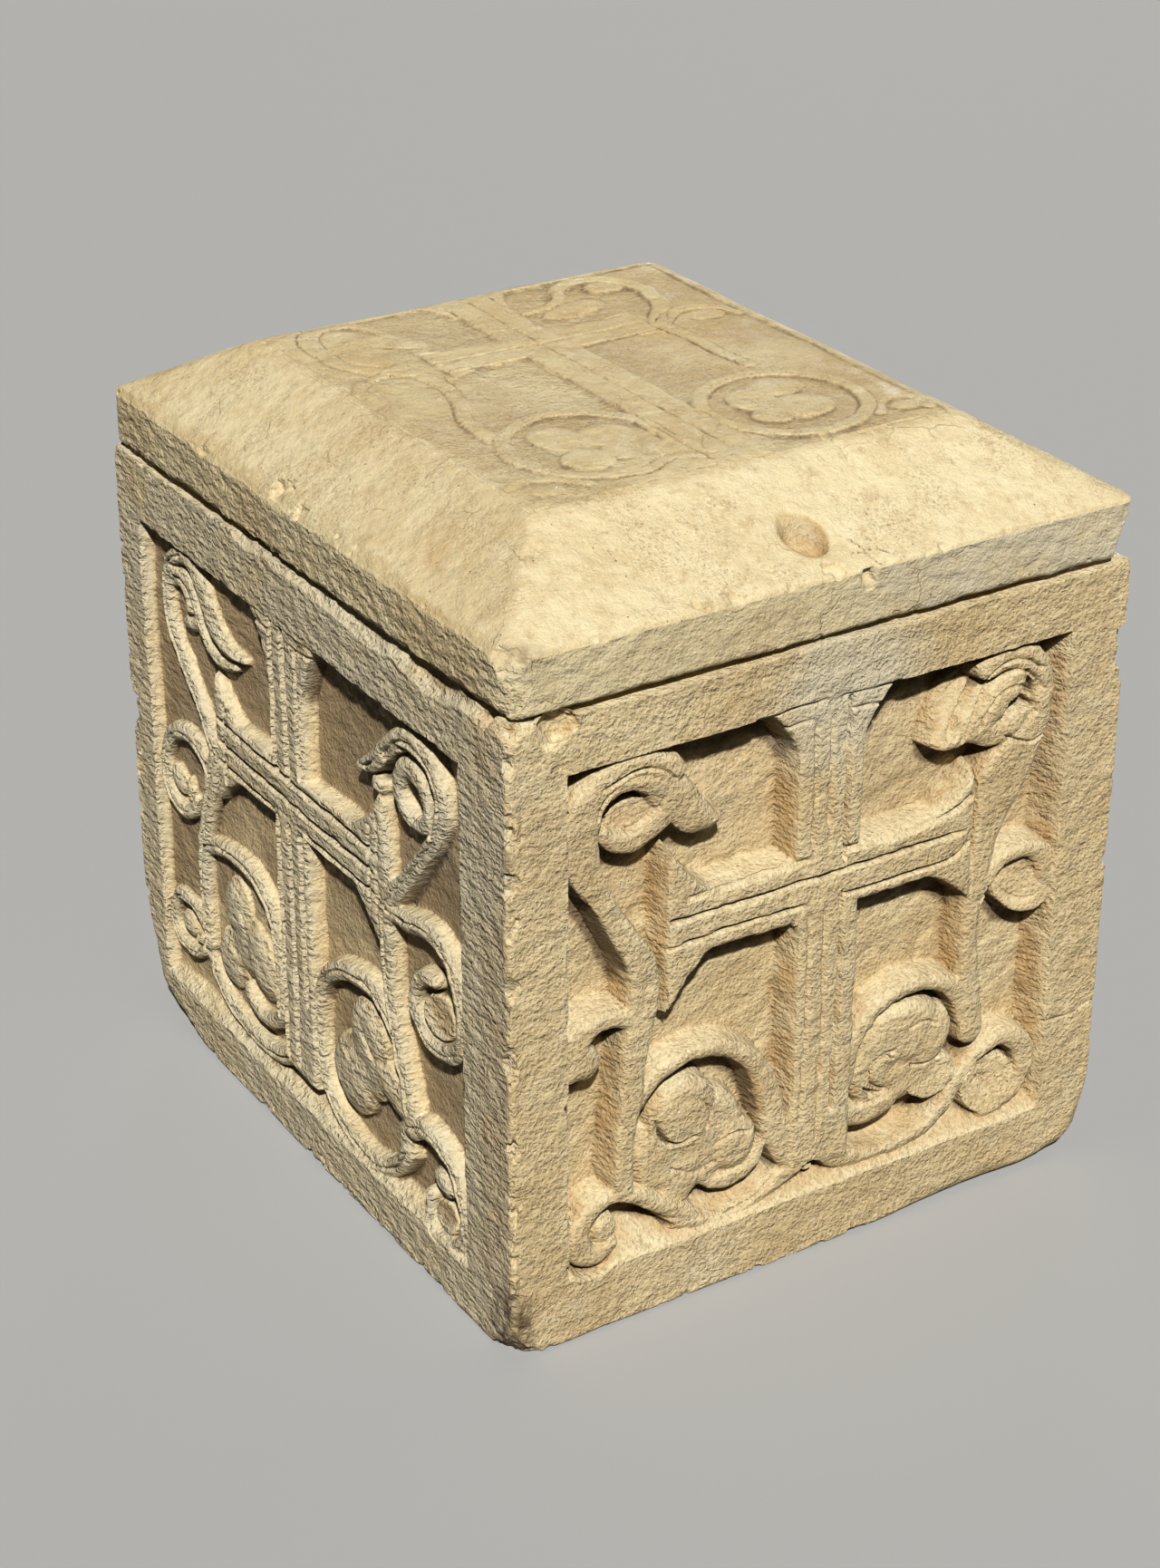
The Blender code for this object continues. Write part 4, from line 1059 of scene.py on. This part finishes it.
def make_body():
    counts = (round(WIDTH / FINE), round(DEPTH / COARSE), round(WIDTH / COARSE), round(DEPTH / FINE))
    x, y = perimeter(counts)
    around = len(x)
    heights = np.linspace(0, BODY_HEIGHT, round(BODY_HEIGHT / FINE) + 1)
    sides = body_sides(counts, heights)

    rows = [(inset, 0.0) for inset in UNDER_INSETS]
    rows += [(0.0, height) for height in heights]
    rows += [(inset, BODY_HEIGHT) for inset in RIM_INSETS]
    points = nested_rings(x, y, rows)
    first = len(UNDER_INSETS) * around
    carved = slice(first, first + len(heights) * around)
    inward = np.zeros(len(points))
    inward[carved] = joined(sides, "depth")

    low, high = at_corner((-1, -1, 0), BODY_HEIGHT), at_corner((1, 1, 1), BODY_HEIGHT)
    points = carve_body(points, inward, low, high)
    sink_rim(points)
    points = break_body(points)
    chip_body(points)
    points = np.clip(points, low + 0.01, high - 0.01)

    shell = np.vstack([points, body_hollow(x, y)])
    count = len(shell)
    points = np.vstack([shell, [(0, 0, 0.4)], [(0, 0, FLOOR)]])
    rings = np.arange(count).reshape(-1, around)
    triangles = np.vstack([fan_faces(rings[0], count, False), fan_faces(rings[-1], count + 1, True)])
    marks = {}
    for measure in ("crevice", "hollowness", "shelter"):
        marks[measure] = np.zeros(len(points))
        marks[measure][carved] = joined(sides, measure)
    mesh = build_mesh("stone_body", points, ring_faces(rings), triangles, marks)
    return thin_out("stone_body", mesh, BODY_TRIANGLES, BODY_LOW, BODY_HIGH)


def lid_top(side, rise, edge):
    """The top's points: a flat between four slopes, over upright faces as high as the edge."""
    height = np.full(side.u_mm.shape, rise)
    distances = (side.u_mm, WIDTH - side.u_mm, side.v_mm, DEPTH - side.v_mm)
    for distance, inset in zip(distances, LID_INSETS):
        height = smooth_min(height, distance * rise / (inset * UNIT), HIP_SOFTNESS)
    return np.stack([side.u_mm - HALF_X, side.v_mm - HALF_Y, edge + height - 0.3], axis=-1).reshape(-1, 3)


def round_outline(places, radius):
    """Rounds the corners of the top's outline, seen from above, by a radius given at each point."""
    half = np.array([HALF_X, HALF_Y])
    inner = np.clip(places, -half + radius[:, None], half - radius[:, None])
    away = places - inner
    scale = np.minimum(1, radius / np.maximum(np.linalg.norm(away, axis=1), 1e-9))
    return inner + away * scale[:, None]


def peck_walls(points, out, edge):
    """Roughens the lid's upright faces, most of all the left one."""
    leftness = smooth_step(1 - (points[:, 0] + HALF_X) / 10)
    pecks = clip01(0.75 - cell_distance(points * (1, 0.7, 1), 6.0, 181)) * 1.3
    rough = 0.15 + 0.35 * (layered_noise(points, 5, 183, 3) + 0.6) + pecks * (0.3 + 0.8 * leftness)
    return points - out * (rough * fall(points[:, 2], edge, 3.0))[:, None]


def round_lid(points, edge):
    """Rounds the arrises between the slopes and the upright faces, and the upright corners."""
    shoulder = edge - 0.8
    left, right, front, back = (-1, 0, 0), (1, 0, 0), (0, -1, 0), (0, 1, 0)
    arrises = (
        ((-HALF_X + 0.6, 0, shoulder), left, LID_SLOPES["left"], 8, 161),
        ((0, -HALF_Y + 0.2, shoulder), front, LID_SLOPES["front"], 3.5, 163),
        ((HALF_X - 0.2, 0, shoulder), right, LID_SLOPES["right"], 4, 165),
        ((0, HALF_Y - 0.4, shoulder), back, LID_SLOPES["back"], 6, 167),
        ((-HALF_X, -HALF_Y, 0), left, front, 13, 169),
        ((-HALF_X, HALF_Y, 0), left, back, 9, 170),
        ((HALF_X, -HALF_Y, 0), right, front, 4, 172),
    )
    for arris in arrises:
        points = round_arris(points, *arris)
    return points


def chip_lid(points, edge):
    """Chips along the lower and the upper edges and down the corners, deeper along the left."""
    rng = np.random.default_rng(21)
    ends = ((-HALF_X, -HALF_Y), (HALF_X, -HALF_Y), (HALF_X, HALF_Y), (-HALF_X, HALF_Y))
    outs = ((0, -1), (1, 0), (0, 1), (-1, 0))
    for start, end, outward, name in zip(ends, ends[1:] + ends[:1], outs, SIDE_NAMES):
        heavy = 1.7 if name == "left" else 1.0
        edges = (
            ((*start, 0), (*end, 0), (*outward, -1), 55, (0.4, 2.4 * heavy), (3, 11)),
            ((*start, edge), (*end, edge), (*outward, 1.2), 40, (0.6, 1.5 * heavy), (4, 10)),
            ((*start, 0), (*start, edge), (*start, 0), 8, (0.4, 2.4), (3, 9)),
        )
        for chips in edges:
            chip_edge(points, *chips, rng)


def break_lid(points, edge):
    """The ragged lower left edge, the near corner's top and foot, and the other corners' tops."""
    under_left = fall(points[:, 1], 130, 20) * (0.6 + 0.6 * layered_noise(points, 32, 185, 3))
    breaks = (
        ((-1, 0, 0), (-1, 0, -0.8), 4.4, np.maximum(under_left, 0), 0.25, 186),
        ((-1, -1, 1), (-1, -1, 0.7), 9.5, 1.0, 0.2, 187),
        ((-1, -1, 0), (-1, -0.7, -0.9), 6.0, 1.0, 0.3, 188),
        ((1, -1, 1), (1, -0.7, -0.3), 3.0, 1.0, 0.3, 189),
        ((1, 1, 1), (1, 1, 0.4), 7.0, 1.0, 0.3, 191),
        ((-1, 1, 1), (-1, 1, 0.4), 3.5, 1.0, 0.3, 193),
    )
    for signs, *plane in breaks:
        points = break_plane(points, at_corner(signs, edge), *plane)
    return points


def lid_radius(points, edge):
    """How far the upright faces' edges are rounded: more at the foot and at the back corners."""
    radius = 1.2 + 1.2 * clip01(layered_noise(points, 18, 171, 2) + 0.3)
    right_back, left_back = (HALF_X, HALF_Y, edge), (-HALF_X, HALF_Y, edge)
    radius += 5 * bump_at(points, right_back, 34) + 3 * bump_at(points, left_back, 30)
    return radius + (2.2 + 1.2 * layered_noise(points, 14, 175, 2)) * smooth_step(1 - points[:, 2] / 10)


def shape_lid(side, top, walls, edge):
    """Wears, carves and breaks the lid's points, of which the first ones are its top's."""
    count = len(top)
    points = np.vstack([top, walls])
    radius = lid_radius(points, edge)
    low, high = at_corner((-1, -1, 0), edge), np.array([HALF_X, HALF_Y, 400.0])
    walls, out = worn_box(points[count:], low, high, radius[count:])
    points[:count, :2] = round_outline(points[:count, :2], radius[:count])
    from_edge = np.minimum(HALF_X - np.abs(points[:count, 0]), HALF_Y - np.abs(points[:count, 1]))
    points[count:] = peck_walls(walls, out, edge)
    top_rough = 0.9 * side.noise(60, 65, 2) + 0.22 * side.noise(12, 61, 3)
    lower = (side.depth + top_rough).ravel() * smooth_step(from_edge / 3.0) + 0.5
    points[:count, 2] -= np.maximum(lower, 0.05)

    points = round_lid(points, edge)
    chip_lid(points, edge)
    points = break_lid(points, edge)
    height = (LID_HIGH.z - LID_LOW.z) / MM
    return np.clip(points, low + 0.01, (HALF_X - 0.01, HALF_Y - 0.01, height - 0.01))


def make_lid():
    height = (LID_HIGH.z - LID_LOW.z) / MM
    rise = height * LID_RISE_SHARE
    edge = height - rise
    nx, ny = round(WIDTH / FINE), round(DEPTH / FINE)
    x, y = np.linspace(-HALF_X, HALF_X, nx + 1), np.linspace(-HALF_Y, HALF_Y, ny + 1)
    side = Side(x + HALF_X, y + HALF_Y, LID_SEED)
    carve_lid(side)

    top = lid_top(side, rise, edge)
    levels = np.linspace(0, edge, round(edge / FINE) + 1)[:-1]
    rows = [(inset, 0.0) for inset in UNDER_INSETS] + [(0.0, level) for level in levels]
    walls = nested_rings(*perimeter((nx, ny, nx, ny)), rows)
    points = shape_lid(side, top, walls, edge)
    points = np.vstack([points, [(0, 0, 0.01)]])
    points[:, 2] += (LID_LOW.z - BODY_LOW.z) / MM

    # The walls' rings are closed by the top's own outline.
    number = np.arange(len(top)).reshape(ny + 1, nx + 1)
    left, right = np.arange(0, nx), np.arange(nx, 0, -1)
    up, down = np.arange(0, ny), np.arange(ny, 0, -1)
    outline = np.concatenate([number[0, left], number[up, nx], number[ny, right], number[down, 0]])
    rings = np.arange(len(top), len(points) - 1).reshape(-1, len(outline))
    rings = np.vstack([rings, outline])
    quads = np.stack([number[:-1, :-1], number[:-1, 1:], number[1:, 1:], number[1:, :-1]], axis=-1)
    quads = np.vstack([quads.reshape(-1, 4), ring_faces(rings)])
    triangles = fan_faces(rings[0], len(points) - 1, False)
    marks = {}
    for mark, values in (("crevice", find_crevices(side)), ("hollowness", side.hollowness)):
        marks[mark] = np.zeros(len(points))
        marks[mark][:len(top)] = values.ravel()
    mesh = build_mesh("stone_lid", points, quads, triangles, marks)
    return thin_out("stone_lid", mesh, LID_TRIANGLES, LID_LOW, LID_HIGH)


# ---------------------------------------------------------------- the stone

SHADE_TAN = (0.385, 0.258, 0.120)
SHADE_BROWN = (0.310, 0.208, 0.098)
SHADE_ORANGE = (0.430, 0.262, 0.100)
SHADE_FLOOR = (0.270, 0.186, 0.096)
SHADE_CREAM = (0.690, 0.620, 0.440)
SHADE_WHITE = (0.720, 0.700, 0.630)
SHADE_COOL = (0.510, 0.458, 0.330)
# Near-black brown: the colour of dirt, pits and dark flecks, and also of the painted shade below the ledges
# and in the crevices.
SHADE_DIRT_AND_SHADOW = (0.085, 0.052, 0.026)


def add(tree, kind, inputs=None, **settings):
    """A shader node; each input is a value or another node's output."""
    node = tree.nodes.new(kind)
    for name, value in settings.items():
        setattr(node, name, value)
    for socket, value in (inputs or {}).items():
        if isinstance(value, bpy.types.NodeSocket):
            tree.links.new(value, node.inputs[socket])
        else:
            node.inputs[socket].default_value = value
    return node


class Stone:
    """A stone built up in layers of colour and of bump, by place on the piece. Sizes are in millimetres."""

    def __init__(self, name, colour):
        self.material = bpy.data.materials.new(name)
        self.material.use_nodes = True
        self.tree = self.material.node_tree
        self.tree.nodes.clear()
        self.place = self.add("TexCoord").outputs["Object"]
        self.colour = self.add("RGB").outputs[0]
        self.colour.default_value = (*colour, 1)
        self.height = None

    def add(self, kind, inputs=None, **settings):
        return add(self.tree, "ShaderNode" + kind, inputs, **settings)

    def vector(self, operation, first, second):
        return self.add("VectorMath", {0: first, 1: second}, operation=operation).outputs[0]

    # Patterns, each a share from 0 to 1.

    def between(self, value, low, high):
        """0 to 1 as a value goes smoothly from low to high."""
        ranged = self.add("MapRange", {"Value": value, "From Min": low, "From Max": high},
                          interpolation_type="SMOOTHSTEP")
        return ranged.outputs[0]

    def shifted(self, place, seed, stretch=(1, 1, 1)):
        """Places moved by a seed, so that no two layers share a pattern."""
        return self.add("Mapping", {
            "Vector": place, "Location": (seed, seed * 0.7, seed * 1.3), "Scale": stretch,
        }).outputs[0]

    def jostled(self, size, wave, detail, push):
        """Places pushed about by noise, which makes the cells on them ragged."""
        ragged = self.add("TexNoise", {"Vector": self.place, "Scale": wave / (size * MM), "Detail": detail})
        centred = self.vector("SUBTRACT", ragged.outputs["Color"], (0.5, 0.5, 0.5))
        return self.vector("ADD", self.place, self.vector("MULTIPLY", centred, (push * size * MM,) * 3))

    def noise(self, size, low, high, detail=4.0, rough=0.55, seed=0.0, stretch=(1, 1, 1)):
        noise = self.add("TexNoise", {
            "Vector": self.shifted(self.place, seed, stretch), "Scale": 1 / (size * MM),
            "Detail": detail, "Roughness": rough,
        })
        return self.between(noise.outputs["Fac"], low, high)

    def cells(self, size, low, high, place, **settings):
        cells = self.add("TexVoronoi", {"Vector": place, "Scale": 1 / (size * MM)}, **settings)
        return self.between(cells.outputs["Distance"], low, high)

    def dots(self, size, low, high, seed):
        """Scattered dots, one to a cell."""
        return self.cells(size, low, high, self.shifted(self.place, seed))

    def pecks(self, size, seed, stretch=(1, 1, 1)):
        """0 in the bottom of each struck pit and 1 on the ridges between them."""
        place = self.jostled(size, 1.3, 2.0, 1.4)
        return self.cells(size, 0.1, 0.8, self.shifted(place, seed, stretch))

    def cracks(self, size, width, seed):
        """Thin wandering lines, 1 in their middle."""
        place = self.jostled(size, 1.6, 4.0, 0.7)
        return self.cells(size, width / size, 0.0, self.shifted(place, seed), feature="DISTANCE_TO_EDGE")

    def mark(self, name):
        """A number kept at the mesh's points."""
        return self.between(self.add("Attribute", attribute_name=name).outputs["Fac"], 0.0, 1.0)

    def times(self, *values):
        total = values[0]
        for value in values[1:]:
            total = self.add("Math", {0: total, 1: value}, operation="MULTIPLY").outputs[0]
        return total

    # Layers, each by the product of its shares.

    def tint(self, colour, *shares):
        mix = self.add("Mix", {"Factor": self.times(*shares), "A": self.colour}, data_type="RGBA")
        mix.inputs[7].default_value = (*colour, 1)
        self.colour = mix.outputs[2]

    def raise_by(self, millimetres, *shares):
        """Adds a height to the bump."""
        scaled = self.times(*shares, millimetres)
        if self.height is not None:
            scaled = self.add("Math", {0: self.height, 1: scaled}).outputs[0]
        self.height = scaled

    def lower_by(self, millimetres, *shares):
        self.raise_by(millimetres, *shares, -1.0)

    def finish(self, rough):
        bump = self.add("Bump", {"Height": self.height, "Distance": MM, "Strength": 1.0})
        shader = self.add("BsdfPrincipled", {
            "Base Color": self.colour, "Roughness": rough, "Normal": bump.outputs[0],
        })
        shader.inputs["Specular IOR Level"].default_value = 0.3
        self.add("OutputMaterial", {"Surface": shader.outputs[0]})
        return self.material


def limestone(name, base, tan, pale, mottle, flecks):
    """Mottled stone, pecked and chopped where it is marked so; mottle and flecks are shares of brown."""
    stone = Stone(name, base)
    struck, strokes = stone.pecks(2.1, 41), stone.pecks(3.2, 43, (1, 0.38, 1.25))
    rough, slanting = stone.mark("rough"), stone.mark("slanting")
    clusters = stone.noise(36, 0.44, 0.62, 5, 0.6, seed=19)
    pits = stone.times(stone.dots(5.5, 0.10, 0.02, 4), stone.noise(30, 0.45, 0.60, seed=9))
    specks = stone.times(stone.dots(11, 0.09, 0.04, 21), stone.noise(40, 0.50, 0.62, seed=23))
    fissures = stone.times(stone.cracks(46, 0.5, 51), stone.noise(40, 0.52, 0.64, 3, 0.5, seed=53))
    dark_flecks = stone.noise(1.2, 0.58, 0.66, 3, 0.75, seed=27, stretch=(1, 0.6, 1))

    stone.tint(tan, stone.noise(75, 0.40, 0.66, 5, 0.6, seed=3))
    stone.tint(pale, stone.noise(34, 0.50, 0.72, 5, 0.62, seed=5), 0.55)
    # Paler where worn, with painted highlight on the upward faces.
    stone.tint(pale, stone.mark("worn"), 0.55)
    stone.tint(tan, stone.noise(26, 0.46, 0.66, 6, 0.68, seed=15), mottle)
    stone.tint(SHADE_TAN, stone.noise(9, 0.50, 0.75, 5, 0.65, seed=8), mottle)
    stone.tint(SHADE_BROWN, stone.noise(4.5, 0.52, 0.74, 5, 0.7, seed=2), 0.55)
    stone.tint(SHADE_BROWN, stone.noise(1.5, 0.50, 0.61, 4, 0.75, seed=7), clusters, flecks)
    stone.tint(SHADE_DIRT_AND_SHADOW, dark_flecks, clusters, 0.6)
    stone.tint(SHADE_CREAM, stone.noise(1.3, 0.54, 0.70, 3, 0.65, seed=6), 0.65)
    stone.tint(SHADE_BROWN, stone.between(struck, 0.55, 0.05), rough, 0.40)
    # Painted shade in the troughs of the slanting strokes.
    stone.tint(SHADE_BROWN, stone.between(strokes, 0.55, 0.05), slanting, 0.45)
    stone.tint(SHADE_ORANGE, stone.mark("patina"), stone.noise(18, 0.30, 0.62, 4, 0.6, seed=12), 0.75)
    # Painted shade on the sunk floors and hollows, with some real staining.
    stone.tint(SHADE_FLOOR, stone.mark("brown"), 0.9)
    # Painted shadow: near-black below the ledges, where the light's shadow falls.
    stone.tint(SHADE_DIRT_AND_SHADOW, stone.mark("sheltered"), 0.78)
    stone.tint(SHADE_COOL, stone.mark("cool"), stone.noise(30, 0.22, 0.52, 5, 0.6, seed=14), 0.72)
    # Dirt, and painted shade in the crevices.
    stone.tint(SHADE_DIRT_AND_SHADOW, stone.mark("dirt_and_crevice_shade"), stone.noise(7, 0.30, 0.60, 4, 0.6, seed=17), 0.9)
    stone.tint(SHADE_DIRT_AND_SHADOW, pits, 0.75)
    stone.tint(SHADE_BROWN, fissures, 0.45)
    stone.tint(SHADE_WHITE, specks, 0.7)

    stone.raise_by(0.46, struck, rough)
    stone.raise_by(1.25, strokes, slanting)
    stone.raise_by(0.9, stone.pecks(2.6, 47, (0.35, 0.35, 1.3)), stone.mark("hatched"))
    stone.raise_by(0.22, stone.noise(1.1, 0.25, 0.75, 3, 0.65, seed=31))
    stone.raise_by(0.85, stone.noise(10.0, 0.25, 0.75, 5, 0.55, seed=33, stretch=(1, 1, 1.5)))
    stone.lower_by(0.8, pits)
    stone.lower_by(0.3, fissures)
    return stone.finish(stone.between(stone.noise(5, 0.3, 0.7, seed=37), -1.2, 1.2))


def dress(obj, material, node):
    obj.data.materials.clear()
    obj.data.materials.append(material)
    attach(obj, "root")
    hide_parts(node)


def points_of(obj):
    count = len(obj.data.vertices)
    places, normals = np.empty(count * 3, np.float32), np.empty(count * 3, np.float32)
    obj.data.vertices.foreach_get("co", places)
    obj.data.vertices.foreach_get("normal", normals)
    return places.reshape(-1, 3).astype(float) / MM, normals.reshape(-1, 3).astype(float)


def set_mark(obj, name, values):
    attribute = obj.data.attributes.get(name) or obj.data.attributes.new(name, "FLOAT", "POINT")
    attribute.data.foreach_set("value", np.asarray(values, np.float32))


def read_mark(obj, name):
    values = np.empty(len(obj.data.vertices), np.float32)
    obj.data.attributes[name].data.foreach_get("value", values)
    return values.astype(float)


def mark_body(obj):
    """Where the stone is rubbed pale, stained brown, greyed and dirty, and where highlight and shade are
    painted: paler upward faces, darker sunk floors, shadows below the ledges and darker crevices.
    """
    places, normals = points_of(obj)
    crevice, hollowness = read_mark(obj, "crevice"), read_mark(obj, "hollowness")
    from_left, from_front, height = places[:, 0] + HALF_X, places[:, 1] + HALF_Y, places[:, 2]
    within = np.minimum(HALF_X - np.abs(places[:, 0]), HALF_Y - np.abs(places[:, 1]))
    patch = layered_noise(places, 60, 301, 3)
    leftward = -normals[:, 0]
    upward = ramp(normals[:, 2], 0.3, 0.4)
    on_left = fall(from_left, 22, 3) * (from_front > 3)
    in_front = ramp(from_front, 2, 2) * (from_front < 25)
    sunk, sunk_left, sunk_deep = ramp(within, 5, 4), ramp(within, 4.0, 1.6), ramp(within, 7, 4)

    # Partly wear on the raised places, partly painted highlight on the upward faces, which the light falls
    # on.
    set_mark(obj, "worn", 0.6 * smooth_step(-crevice / 1.4) + 0.8 * upward)
    set_mark(obj, "rough", (1 - 0.25 * sunk) * (1 - 0.7 * on_left * smooth_step(1 - sunk)))
    # Painted shadow: darker just below the ledges, where the light's shadow falls.
    set_mark(obj, "sheltered", ramp(read_mark(obj, "shelter"), 0.85, 0.5))

    # The left border is chopped in slanting strokes, most of all near the front; the brown in their troughs
    # is painted shade.
    near = fall(from_front, 26, 20)
    set_mark(obj, "slanting", on_left * (1 - 0.85 * sunk) * (0.8 + 0.7 * near) * ramp(leftward, 0.2, 0.4))
    set_mark(obj, "hatched", ramp(np.abs(leftward), 0.35, 0.25) * in_front * ramp(within, 3, 3))

    # Painted shade and some stain: the sunk floors are made browner, the left side's most, and the front's
    # more towards the upper left.
    floor_stain_and_shade = (0.10 + 0.3 * bump_at(places, (0.12 * WIDTH, -HALF_Y, 0.74 * BODY_HEIGHT), 75)) * (1 - on_left)
    left_floor = sunk_left * on_left * ramp(leftward, 0.6, 0.25) * clip01(0.72 + 0.9 * patch)
    set_mark(obj, "brown", np.maximum(left_floor, sunk_deep * floor_stain_and_shade))

    walls = ramp(leftward, 0.35, 0.25) * in_front
    low = ramp(hollowness, 0.5, 4.0) * ramp(crevice, -0.2, 1.5)
    ledges = upward * in_front * fall(height, 0.2 * BODY_HEIGHT, 20)
    patches = (1 - on_left) * ramp(patch, 0.05, 0.3)
    set_mark(obj, "patina", 0.7 * walls + 0.35 * low + 0.6 * ledges + 0.3 * patches)

    cool = 1.2 * bump_at(places, (0.03 * WIDTH, -HALF_Y, 0.92 * BODY_HEIGHT), 60)
    cool += 0.25 * ramp(patch, 0.1, 0.4) + 0.62 * on_left * (1 - sunk_left)
    set_mark(obj, "cool", cool)

    foot = np.hypot(1.8 * from_left, from_front)  # from the near arris
    dirt_and_crevice_shade = 1.1 * fall(foot, 26, 16) * fall(height, 46, 30)
    dirt_and_crevice_shade += 0.5 * fall(foot, 9, 6) * ramp(layered_noise(places, 16, 305, 3), 0.15, 0.3)
    # Painted shade: darker in the crevices.
    dirt_and_crevice_shade += 0.35 * ramp(crevice, 0.9, 1.4)
    set_mark(obj, "dirt_and_crevice_shade", dirt_and_crevice_shade)


def mark_lid(obj):
    """Where the lid is rubbed pale, paler on its slopes, stained, greyed and dirty, with painted shade in
    its crevices, hollows and dimple and on its left slope. Its flat is browner than its slopes.
    """
    places, normals = points_of(obj)
    crevice = read_mark(obj, "crevice")
    base = LID_LOW.z / MM
    patch = layered_noise(places, 60, 311, 3)
    leftward = -normals[:, 0]
    flat = ramp(places[:, 2], LID_HIGH.z / MM - 4, 2.5)
    slope = ramp(normals[:, 2], 0.7, 0.12) * (1 - flat)
    upright = fall(normals[:, 2], 0.55, 0.3)
    on_edge = fall(normals[:, 2], 0.6, 0.3)
    leftness, on_left = ramp(leftward, 0.15, 0.3), ramp(leftward, 0.3, 0.4)
    sunk = ramp(read_mark(obj, "hollowness"), 0.5, 0.8)
    from_dimple = np.hypot(places[:, 0] + HALF_X - DIMPLE.u * UNIT, places[:, 1] + HALF_Y - DIMPLE.v * UNIT)
    in_dimple = fall(from_dimple, 12, 3)

    # Paler on the raised places, and on the slopes, less so on the left one.
    set_mark(obj, "worn", 0.5 * smooth_step(-crevice) + slope * (1.5 - 0.8 * leftness + 0.5 * patch))
    rough = 0.3 * upright * (1 - on_left) + 0.5 * on_left * upright
    set_mark(obj, "rough", 0.14 + 0.5 * sunk + rough + 0.5 * in_dimple)
    set_mark(obj, "slanting", 0.6 * on_left * upright)
    for unused in ("sheltered", "hatched"):
        set_mark(obj, unused, np.zeros(len(places)))
    # Browner on the flat, with painted shade on the left slope, in the hollows of the flat and in the
    # dimple.
    brown = 0.16 * ramp(leftward, 0.2, 0.2) * (1 - upright) + (0.1 + 0.3 * sunk) * flat
    set_mark(obj, "brown", brown + 0.3 * in_dimple)
    stains = clip01(0.32 + 0.8 * layered_noise(places, 34, 313, 3)) * slope
    patina = flat * (0.22 + 0.2 * patch + 0.15 * sunk) + 1.1 * in_dimple + (0.4 + 0.35 * leftness) * stains
    set_mark(obj, "patina", patina)
    on_front = on_edge * (normals[:, 1] < -0.5)
    set_mark(obj, "cool", on_front * ramp(places[:, 0], -0.02 * WIDTH, 60) + 0.3 * on_edge)

    vein = 1.2 * bump_at(places, (0.07 * WIDTH, -HALF_Y + 6, base + 36), 30)
    # Painted shade: darker in the crevices of the flat, and more so near a vein on the front; the two spots
    # below are stains.
    dirt_and_crevice_shade = ramp(crevice, 0.08, 0.3) * np.maximum(0.65 * flat, vein)
    dirt_and_crevice_shade += 0.6 * bump_at(places, (-HALF_X + 10, -HALF_Y + 2, base + 26), 16)
    dirt_and_crevice_shade += 0.2 * on_edge * bump_at(places, (0.12 * WIDTH, -HALF_Y, base + 14), 60)
    set_mark(obj, "dirt_and_crevice_shade", dirt_and_crevice_shade)


# ---------------------------------------------------------------- the floor, the light and the camera

KEY_TRAVEL = (0.34, 0.60, -0.69)  # the directions in which the light goes
FILL_TRAVEL = (-0.62, -0.78, 0)
CAMERA_PLACE = (-0.7202, -1.1293, 0.8457)  # in metres, from the foot of the carving
CAMERA_LOOK = (0.4720, 0.7520, -0.4601)
CAMERA_LENS = 72.4
FLOOR_SIZE = 200  # metres, far enough to fill the view behind the casket


def make_floor():
    bpy.ops.mesh.primitive_plane_add(size=FLOOR_SIZE, location=(0, 0, BODY_LOW.z))
    floor = bpy.context.object
    floor.name = "floor"
    material = bpy.data.materials.new("pale_floor")
    material.use_nodes = True
    shader = material.node_tree.nodes["Principled BSDF"]
    shader.inputs["Base Color"].default_value = (0.33, 0.33, 0.326, 1)
    shader.inputs["Roughness"].default_value = 0.9
    floor.data.materials.append(material)
    floor.visible_diffuse = False  # the light it throws back would fill the shadows of the carving


def aim(obj, direction):
    obj.rotation_euler = Vector(direction).to_track_quat("-Z", "Y").to_euler()


def make_sun(name, travel, energy, spread, colour):
    """A far lamp; spread is its width in degrees, which softens its shadows."""
    sun = bpy.data.lights.new(name, "SUN")
    sun.energy = energy
    sun.angle = math.radians(spread)
    sun.color = colour
    lamp = bpy.data.objects.new(name, sun)
    aim(lamp, travel)
    bpy.context.scene.collection.objects.link(lamp)


def make_lights():
    """The key light, a level one from behind that reaches only the hidden sides, and the pale room."""
    make_sun("key", KEY_TRAVEL, 5.65, 2.2, (1.0, 0.985, 0.955))
    make_sun("fill", FILL_TRAVEL, 1.5, 14, (0.97, 0.98, 1.0))
    world = bpy.data.worlds.new("studio")
    world.use_nodes = True
    background = world.node_tree.nodes["Background"]
    background.inputs["Color"].default_value = (0.93, 0.96, 1.0, 1)
    background.inputs["Strength"].default_value = 0.030
    bpy.context.scene.world = world


def make_camera():
    data = bpy.data.cameras.new("camera")
    data.lens = CAMERA_LENS
    data.sensor_width = data.sensor_height = 36
    data.sensor_fit = "AUTO"
    camera = bpy.data.objects.new("camera", data)
    camera.location = Vector(CAMERA_PLACE) + Vector((0, 0, BODY_LOW.z + CARVING_BASE * MM))
    aim(camera, CAMERA_LOOK)
    bpy.context.scene.collection.objects.link(camera)
    bpy.context.scene.camera = camera


make_camera()
make_lights()
make_floor()

body = make_body()
mark_body(body)
body_stone = limestone(
    "body_limestone", base=(0.590, 0.468, 0.262), tan=(0.525, 0.392, 0.200), pale=(0.645, 0.565, 0.355),
    mottle=0.36, flecks=0.42,
)
dress(body, body_stone, "casket_body")

lid = make_lid()
mark_lid(lid)
lid_stone = limestone(
    "lid_limestone", base=(0.565, 0.468, 0.265), tan=(0.50, 0.380, 0.190), pale=(0.675, 0.588, 0.375),
    mottle=0.50, flecks=0.6,
)
dress(lid, lid_stone, "casket_lid")

bpy.context.scene.view_settings.view_transform = "Standard"
